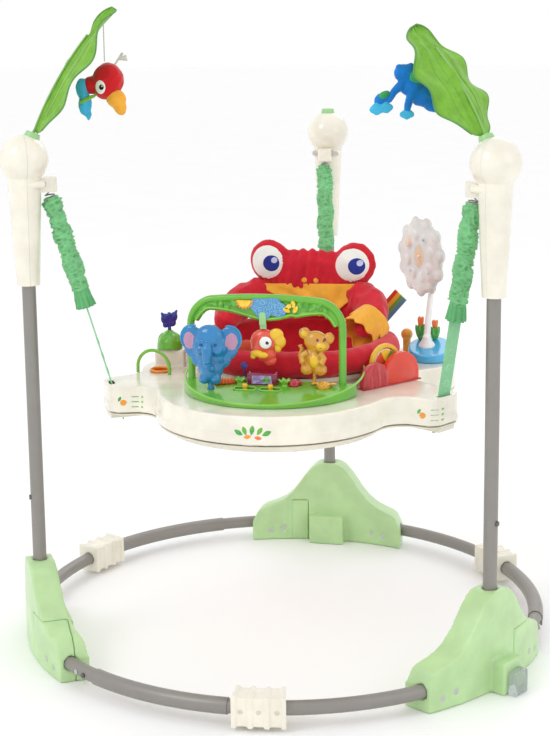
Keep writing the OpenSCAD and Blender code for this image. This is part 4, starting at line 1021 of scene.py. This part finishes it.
def add_parrot():
    """The parrot that hangs from the arch."""
    place = at_tray(PARROT_X, ARCH_Y, 0)
    look = {"body": "parrot", "slot": "red_plastic"}
    body = toy("parrot_body", [ball((0, 0, 455), (19, 9, 18)), ball((-9, -1, 448), (9, 8, 9)),
                               ball((3, 1, 440), (14, 8, 13)), ball((8, 2, 430), (9, 6, 8)),
                               tube([(0, 0, 470), (0, 0, 481.5)], 2.4, 12),
                               tube([(0, -3, 481.5), (0, 3, 481.5)], 2.2, 14)],
               "parrot", "parrot", "red_plastic", 0.9, 3, place, ("parrot",))
    tree = surface_of(body)
    for part, key, dx, r, lift in (("ring", "parrot", 0, 10.6, 0.6), ("white", "white", 0, 9.2, 1.3),
                                   ("pupil", "black", 2.6, 2.7, 1.9)):
        patch(f"parrot_eye_{part}", tree, oval(r, r, 30), M[key], place @ shift(4 + dx, -40, 456), lift, 5,
              **look)
    patch("parrot_glint", tree, oval(1.0, 1.0, 12), M["white"], place @ shift(8, -40, 457.6), 2.4, 2,
          **look)
    toy("parrot_crest", [ball((18, -3, 466), (10, 4, 9)), ball((23, -3, 457), (8, 4, 9)),
                         ball((20, -3, 448), (5, 3, 6))],
        "yellow", "parrot", "yellow_plastic", 0.8, 3, place)
    toy("parrot_beak", [ball((-8, -8, 441), (9, 5, 5)), ball((0, -9, 439), (8, 4, 4.5)),
                        ball((-13, -8, 437), (4, 3.5, 4))],
        "yellow", "parrot", "yellow_plastic", 0.8, 3, place)


def add_monkey():
    """The turning monkey."""
    place = at_tray(*MONKEY, DECK)
    shapes = [ball((2, 0, 76), (16, 10, 14)), ball((-13, 0, 86), (8, 5, 8)), ball((20, 1, 80), (7, 5, 8)),
              ball((11, -6, 71), (11, 7, 8)), ball((-2, 0, 52), (12, 8.5, 17)), ball((2, -5, 50),
                                                                                     (9, 6, 12)),
              ball((-10, -3, 38), (8.5, 7, 8)), ball((9, -4, 38), (9, 7, 8)), lathe([(2.4, 5.5), (2.4, 34)],
                                                                                    18),
              tube([(-8, -6, 62), (-16, -8, 56), (-14, -10, 48)], [4.5, 4, 4.4], 12),
              tube([(9, -6, 60), (15, -9, 54), (11, -11, 47)], [4.5, 4, 4.6], 12),
              tube([(-11, 3, 40), (-18, 2, 46), (-20, 1, 56), (-17, 1, 64), (-20, 1, 70)], [3.4, 3.2, 3,
                                                                                            2.8, 3], 12)]
    body = toy("monkey_body", shapes, "amber", "monkey", "yellow_plastic", 0.9, 2, place, ("monkey",))
    tree = surface_of(body)
    look = {"body": "monkey", "slot": "yellow_plastic"}
    for n, (x, z, rx, rz, key) in enumerate(((6, 79, 2.0, 2.6, "purple"), (15, 79, 2.0, 2.6, "purple"),
                                             (11, 71, 8, 5.4, "yellow"), (-13, 86, 4.6, 4.8, "yellow"),
                                             (11, 69, 3.4, 0.8, "purple"), (1, 50, 7, 10, "yellow"))):
        patch(f"monkey_mark_{n}", tree, oval(rx, rz, 20), M[key], place @ shift(x, -50, z), 0.5, 3, **look)


def add_buttons():
    """The three press buttons on the base."""
    turn = at_tray(*GRUB, 0, 18)
    top = base_top(GRUB[1])
    body = [tube([(-11.5, 0, top - 8), (11.5, 0, top - 8)], 4.4, 14)]
    body += [ball((-12 + 4 * k, 0, top + 1.6), (2.6, 5.6, 5.2)) for k in range(7)]
    toy("grub_body", body, "orange", "button_grub", "orange_plastic", 0.7, 1, turn, ("button_grub",))
    for name, at, key, slot in (("beetle", BEETLE, "ruby", "red_plastic"), ("bug", BUG, "bug",
                                                                            "yellow_plastic")):
        top = base_top(at[1])
        shapes = [lathe([(8.9, top - 9), (8.9, top + 0.4)], 40), ball((0, 0, top), (9.2, 9.2, 6.4))]
        for ring, count, up in ((7.2, 9, 3.4), (3.8, 5, 5.2), (0, 1, 6.2)):
            shapes += [ball((ring * math.cos(TAU * k / count), ring * math.sin(TAU * k / count), top + up),
                            (2.2, 2.2, 1.7)) for k in range(count)]
        if name == "bug":
            shapes += [ball((side * 11, 1, top + 4.4), (7, 4.4, 1.3)) for side in (-1, 1)]
        else:
            shapes += [ball((side * 10, -3, top + 4.2), (3.4, 2.2, 1.2)) for side in (-1, 1)]
        toy(f"{name}_body", shapes, key, f"button_{name}", slot, 0.7, 1, at_tray(*at, 0), (f"button_{name}",
                                                                                           ))


def add_drum():
    """The drum box between its plants."""
    place = at_tray(-6, -173, 0)
    low, high = base_top(-183), base_top(-183) + 16
    block = moved(slab([(-20, low - 1), (20, low - 1), (18, high), (-18, high)], 18), shift(0, -9, 0))
    ends = [ball((side * 18.5, 0, (low + high) / 2), (3.2, 10.5, 9.5)) for side in (-1, 1)]
    toy("drum_case", [block] + ends, "purple", "tray", "purple_plastic", 0.9, 2, place, ("drum",))
    window = slab([(-14, low + 2.5), (14, low + 2.5), (13, high - 2.5), (-13, high - 2.5)], 1.2)
    make("drum_window", window, M["print_violet"], place @ shift(0, -10.2, 0), "tray", "purple_plastic")
    bits = [moved(slab(leaf_mark(6, 3.4, t), 1.0), shift(x, -11.0, (low + high) / 2 + dz))
            for x, dz, t in ((3, 0, 20), (7, 2, 80), (6, -2, -30), (10, 0, 10))]
    make("drum_leaves", merged(*bits), M["green_leafy"], place, "tray", "green_plastic")
    plants = []
    for side, x0 in ((-1, -37), (1, 25)):
        for k in range(5):
            lean = rot("Z", 70 * k) @ rot("X", 50)
            plants.append(moved(slab(leaf_mark(13, 7, 90), 1.6), shift(x0 - PARROT_X, -6, base_top(-182)
                                                                       + 1)
                                @ lean @ shift(0, 0, 5)))
    plants += [ball((x0 - PARROT_X, -6, base_top(-182)), (5, 5, 3)) for x0 in (-37, 25)]
    make("drum_plants", merged(*plants), M["green_rim"], place, "tray", "green_plastic")
    petals = [ball((0, 0, 0), (1.6, 1.2, 5.5), rot("Y", 45 * k)) for k in range(4)]
    stalk = tube([(0, 2, -22), (0, 1, -8), (0, 0, 0)], 1.1, 8)
    make("drum_flower", merged(*petals, stalk), M["navy"], at_tray(-33, -170, base_top(-170) + 22), "tray",
         "navy_plastic")


# ---------------------------------------------------------------- side toys

def flat_bottom(obj, matrix):
    """Keeps a toy's lower face flat on the deck."""
    inverse = matrix.inverted()
    points = coords(obj.data)
    for i, p in enumerate(points):
        q = inverse @ Vector(p)
        if q.z < 0.2:
            q.z = 0.2
            points[i] = matrix @ q
    set_coords(obj.data, points)
    return obj


def add_left_toys():
    """Hoop, cup, dome and butterfly on the tray's left."""
    dress("hoop", "lime")
    dress("cup", "orange")
    ring = [(14.2 * math.cos(TAU * k / 40), 14.2 * math.sin(TAU * k / 40), 0) for k in range(41)]
    make("cup_rim", tube(ring, 1.6, 10), M["orange_light"], at_tray(-185, -58, DECK + 2.4), "tray",
         "orange_plastic")
    top = DECK + 27
    place = at_tray(-180, -24, top + 0.2)
    lobes = [ball((9 * math.cos(TAU * k / 6), 9 * math.sin(TAU * k / 6), 8), (9.5, 9.5, 15))
             for k in range(6)]
    lobes += [ball((0, 0, 12), (12, 12, 15.5)), lathe([(18.6, 0.3), (18.9, 3), (17.5, 12), (12, 20)], 40)]
    dome = make("leaf_dome", merged(*lobes), M["green"], place)
    softened(dome, 1.0, 3)
    flat_bottom(dome, place)
    finish_piece(dome, "tray", "green_plastic", ("dome",))
    fly = at_tray(-180, -24, top)
    wings = []
    for side in (-1, 1):
        wings += [ball((0, side * 8, 45), (2.6, 7.5, 8), rot("X", -side * 20)), ball((0, side * 6.5, 36),
                                                                                     (2.4, 6, 5)),
                  ball((0, side * 12, 51), (2.0, 2.6, 5), rot("X", -side * 35))]
    wings += [tube([(0, 0, 18.6), (0, 0, 48)], [2.9, 2.4], 14), ball((0, 0, 50), (3.4, 3.4, 3.8))]
    toy("butterfly_body", wings, "navy", "butterfly", "navy_plastic", 0.9, 2, fly @ rot("Z", -35),
        ("butterfly",))


def add_hills():
    """The two hills with the wheel and its arch."""
    place = at_tray(147.5, -80, DECK + 0.1, -38 - 90)
    small = [ball((27 + dx, 6.5, 4), (9.5, 8.5, h), sides=28) for dx, h in ((-14, 24), (0, 32), (14, 23))]
    small.append(moved(slab(arc(27, 9, 25, 0, 180, 24) + [(2, 0), (52, 0)], 9), shift(0, 1, 0)))
    dark = make("hill_small", merged(*small), M["hill_dark"], place)
    softened(dark, 1.0, 3)
    flat_bottom(dark, place)
    finish_piece(dark, "tray", "red_plastic", ("hills",))
    big = [moved(slab(arc(-20, 11, 32.5, 0, 180, 32) + [(-52.5, 0), (12.5, 0)], 9), shift(0, 2.6, 0)),
           ball((-20, 7.5, 12), (31, 6.8, 31), sides=32)]
    light = make("hill_big", merged(*big), M["hill_light"], place)
    softened(light, 1.0, 3)
    flat_bottom(light, place)
    finish_piece(light, "tray", "red_plastic")
    skirt = slab([(-54, 0.2), (54, 0.2), (54, 1.8), (-54, 1.8)], 15)
    make("hill_plinth", skirt, M["hill_dark"], place, "tray", "red_plastic")
    dress("wheel_arch", "yellow", (0.9, 3))
    hub = place @ shift(0, -0.8, 29)
    names = ("stripe_red", "sun", "stripe_green", "sky", "navy", "orange")
    for k, key in enumerate(names):
        wedge = arc(0, 0, 18.6, 60 * k + 1.2, 60 * k + 58.8, 10) + arc(0, 0, 2.4, 60 * k + 55, 60 * k + 5,
                                                                       3)
        make(f"rainbow_wedge_{k}", slab(wedge, 3.4), M[key], hub @ shift(0, -3.7, 0), "rainbow_disc",
             "sky_plastic",
             ("rainbow_disc",) if k == 0 else ())
    rim = [(18.6 * math.cos(TAU * k / 48), -2, 18.6 * math.sin(TAU * k / 48)) for k in range(49)]
    make("rainbow_rim", tube(rim, 1.1, 8), M["white"], hub, "rainbow_disc", "sky_plastic")


def add_pond():
    """The pond with its tulips, the cloud on its stalk, and the rainbow band."""
    dress("pond_base", "sky", (1.3, 6))

    def pond_top(y):
        return DECK + 11 + (y - 84 + 33) * math.tan(math.radians(15))
    greens, buds = [], []
    for x, y, h in ((173, 103, 36), (194, 106, 30)):
        z = pond_top(y)
        for k in range(5):
            a = TAU * k / 5 + x
            greens.append(ball((x + 4.2 * math.cos(a), y + 4.2 * math.sin(a), z + h * 0.32), (3.2, 3.2,
                                                                                              h * 0.34),
                               rot("Z", math.degrees(a)) @ rot("Y", 14)))
        greens.append(tube([(x, y, z + 0.4), (x, y, z + h * 0.7)], 3.0, 12))
        for k in range(4):
            a = TAU * k / 4 + 0.6
            buds.append(ball((x + 2.4 * math.cos(a), y + 2.4 * math.sin(a), z + h * 0.78), (2.6, 2.6,
                                                                                            h * 0.22),
                             rot("Z", math.degrees(a)) @ rot("Y", 10)))
        buds.append(ball((x, y, z + h * 0.7), (4.4, 4.4, h * 0.16)))
    ground = at_tray(0, 0, 0)
    toy("lily_leaves", greens, "stem", "tray", "green_plastic", 0.8, 1, ground, ("lilies",))
    toy("lily_buds", buds, "tulip", "tray", "orange_plastic", 0.8, 1, ground)
    top = (191.1, 119.7)
    z = pond_top(88)
    path = [(184, 88, z - 2), (184, 89, z + 12), (185, 93, z + 32), (187, 101, z + 62), (189.5, 110, z
                                                                                         + 92),
            (191, 117, z + 116), (*top, 535), (*top, 540)]
    stalk = [tube(path, [6.4, 5.4, 4.8, 4.4, 4.2, 4.2, 4.4, 3.4], 20),
             moved(lathe([(12.8, 1.0), (12, 4), (9, 8), (6.6, 13), (5.4, 18)], 32), shift(184, 88, z - 3)
                   @ rot("X", 12)),
             tube([(*top, 535), (173 - 5.5, 104 - 4.8, 535)], 2.4, 14),
             ball((*top, 535), (6, 6, 7))]
    toy("cloud_stem", stalk, "white", "tray", "white_plastic", 1.0, 2, ground, ("cloud_stalk",))
    disc = at_tray(173, 104, 535, 221) @ rot("Y", 90)
    puffs = [lathe([(1, -4.4), (40, -4.6), (52, -3.4), (56, 0), (52, 3.4), (40, 4.6), (1, 4.4)], 64)]
    for k in range(11):
        a = TAU * k / 11
        puffs.append(ball((49 * math.cos(a), 49 * math.sin(a), 0), (11.8, 11.8, 4.9)))
    for k in range(8):
        a = TAU * k / 8 + 0.3
        puffs.append(ball((31 * math.cos(a), 31 * math.sin(a), 2.2), (10.5, 10.5, 4.4)))
    cloud = toy("cloud_disc", puffs, "cloud", "cloud_spinner", "white_plastic", 1.3, 2, disc,
                ("cloud_spinner",))
    tree = surface_of(cloud)
    facing = disc @ rot("X", -90)
    for n, (x, z, rx, rz, key) in enumerate(((0, 0, 17, 12, "peach"), (4, 4, 10, 1.8, "stripe_yellow"),
                                             (-26, 14, 2.4, 2.4, "panel_blue"), (24, -22, 2.4, 2.4,
                                                                                 "panel_blue"),
                                             (22, 24, 2.0, 2.0, "stripe_green"), (-20, -26, 9, 5,
                                                                                  "peach"))):
        patch(f"cloud_print_{n}", tree, oval(rx, rz, 24), M[key], facing @ shift(x, -40, z), 0.35, 4,
              body="cloud_spinner", slot="white_plastic")
    low, high = Vector((68, 150, 387)), Vector((188, 126, 529))
    run = high - low
    lean = math.acos(run.normalized().z)
    band = ground @ shift(*low) @ aim(run)
    for k, key in enumerate(("stripe_blue", "stripe_green", "stripe_yellow", "stripe_red")):
        x0, x1 = 12 - 6 * k, 6 - 6 * k
        z0, z1 = [(DECK + 0.4 - low.z + x * math.sin(lean)) / math.cos(lean) for x in (x0, x1)]
        end = 0.6 * run.length - 2
        strip = slab([(x0, z0), (x0, end), (x1, end), (x1, z1)], 2.6)
        make(f"rainbow_stripe_{k}", strip, M[key], band @ shift(0, -2, 0), "tray", "sky_plastic",
             ("rainbow_band",) if k == 0 else ())
    back = slab([(12, (DECK + 0.4 - low.z + 12 * math.sin(lean)) / math.cos(lean)), (12, end), (-12, end),
                 (-12, (DECK + 0.4 - low.z - 12 * math.sin(lean)) / math.cos(lean))], 1.2)
    make("rainbow_back", back, M["white"], band @ shift(0, 0.7, 0), "tray", "white_plastic")
    dress("deck_knob", "orange_light", (0.9, 3))


# ---------------------------------------------------------------- plush toys

def plush_place(joint, drop):
    """A frame below a plush toy's hanging point that faces the front, in millimetres."""
    hang = Vector(JOINTS[joint]["pos_m"])
    return hang, Matrix.Translation(hang - Vector((0, 0, drop * MM))) @ rot("Z", 12.2) @ Matrix.Scale(MM, 4)


def add_string(name, hang, drop, body, slot):
    """A plush toy's hanging string."""
    steps = 12
    path = [hang - Vector((0, 0, drop * MM * k / steps)) for k in range(steps + 1)]
    obj = make(name, tube(path, 0.8 * MM, 8), M["thread"], body=body, slot=slot)


def stuffed(name, shapes, key, place, body, slot, replaces=(), cap=2.5):
    """A small stuffed piece of a plush toy."""
    obj = make(name, merged(*shapes), M[key], place)
    puffed(obj, 2.2, cap)
    wrinkled(obj, 0.5, 14, (1, 1, 1), 2.0)
    finish_piece(obj, body, slot, replaces)
    return obj


def add_bird():
    """The plush bird on its string."""
    drop = 52
    hang, place = plush_place("bird_swing", drop)
    look = {"body": "bird_plush", "slot": "bird_fabric"}
    head = stuffed("bird_head", [ball((4, 0, -25), (22, 19, 24)), ball((-19, 2, -32), (13, 12, 13)),
                                 ball((2, -2, -38), (18, 15, 14))], "bird_red", place,
                                 replaces=("bird_plush",), **look)
    stuffed("bird_wing", [ball((-31, -2, -36), (10, 7, 15)), ball((-28, -4, -56), (10, 6, 18)),
                          ball((-24, -4, -70), (5, 4, 11))], "sky_cloth", place, **look)
    stuffed("bird_beak", [ball((15, -6, -50), (14, 12, 13)), ball((20, -7, -61), (9, 8, 13),
                                                                  rot("Y", -18))],
            "gold", place, **look)
    stuffed("bird_band", [ball((-24, -10, -50), (17, 2.6, 3.6), rot("Y", -24))], "leaf", place, cap=1,
            **look)
    tree = surface_of(head)
    for part, key, rx, rz, dx, lift in (("white", "white_cloth", 7.5, 10, 0, 0.7), ("pupil", "black_cloth",
                                                                                    3.8, 4.2, 1.5, 1.3),
                                        ("glint", "white_cloth", 1.2, 1.2, 2.6, 1.8)):
        patch(f"bird_eye_{part}", tree, oval(rx, rz), M[key], place @ shift(-5 + dx, -60, -34
                                                                            + (1.5 if part == "glint" else 0)),
              lift, 5, **look)
    tuft = [tube([(12, 8, -6), (18, 9, 3), (x, 10, z)], [1.2, 1.5, 1.9], 8) for x, z in ((24, 11), (29, 7),
                                                                                         (30, 2))]
    make("bird_tuft", merged(*tuft), M["thread"], place, **look)
    add_string("bird_string", hang, drop, "bird_plush", "bird_fabric")


def add_frog():
    """The plush frog on its string."""
    drop = 34
    hang, place = plush_place("frog_swing", drop)
    place = place @ shift(-15, 0, -37) @ Matrix.Scale(1.12, 4)
    look = {"body": "frog_plush", "slot": "frog_fabric"}
    stuffed("frog_body", [ball((-6, 0, 24), (14, 12, 11)), ball((-13, -3, 31), (5, 5, 5)), ball((0, -3, 32),
                                                                                                (5, 5, 5)),
                          ball((1, 0, 10), (15, 12, 13)), ball((14, 1, -2), (16, 12, 13)),
                          ball((28, 2, -14), (12, 9, 8)),
                          tube([(-8, -5, 14), (-20, -7, 3), (-27, -7, -9)], [6, 5, 4.5], 14),
                          tube([(4, -5, 6), (-3, -9, -8), (-5, -9, -20)], [6, 5, 4.5], 14),
                          ball((-35, -4, -8), (8, 7, 10))],
            "blue_cloth", place, replaces=("frog_plush",), **look)
    stuffed("frog_belly", [ball((5, -8, 20), (9, 5, 9)), ball((-31, -8, 0), (8, 5, 5), rot("Y", -30))],
            "green_cloth", place,
            cap=1, **look)
    hands = []
    for x, z in ((-29, -13), (-5, -21), (-40, -15)):
        hands += [ball((x + 5 * math.cos(t), -9, z + 5 * math.sin(t)), (4.6, 3.6, 4.6)) for t in
                  [math.radians(200 + 70 * k) for k in range(3)]] + [ball((x, -8, z + 1), (5.5, 4.4, 5.5))]
    stuffed("frog_hands", hands, "sky_cloth", place, cap=0.8, **look)
    add_string("frog_string", hang, drop, "frog_plush", "frog_fabric")


add_camera()
add_studio()
dress_frame()
add_leaves()
add_springs_and_straps()
tray_shell = add_tray()
add_tray_marks(tray_shell)
add_seat()
add_base()
add_arch()
add_elephant()
add_parrot()
add_monkey()
add_buttons()
add_drum()
add_left_toys()
add_hills()
add_pond()
add_bird()
add_frog()
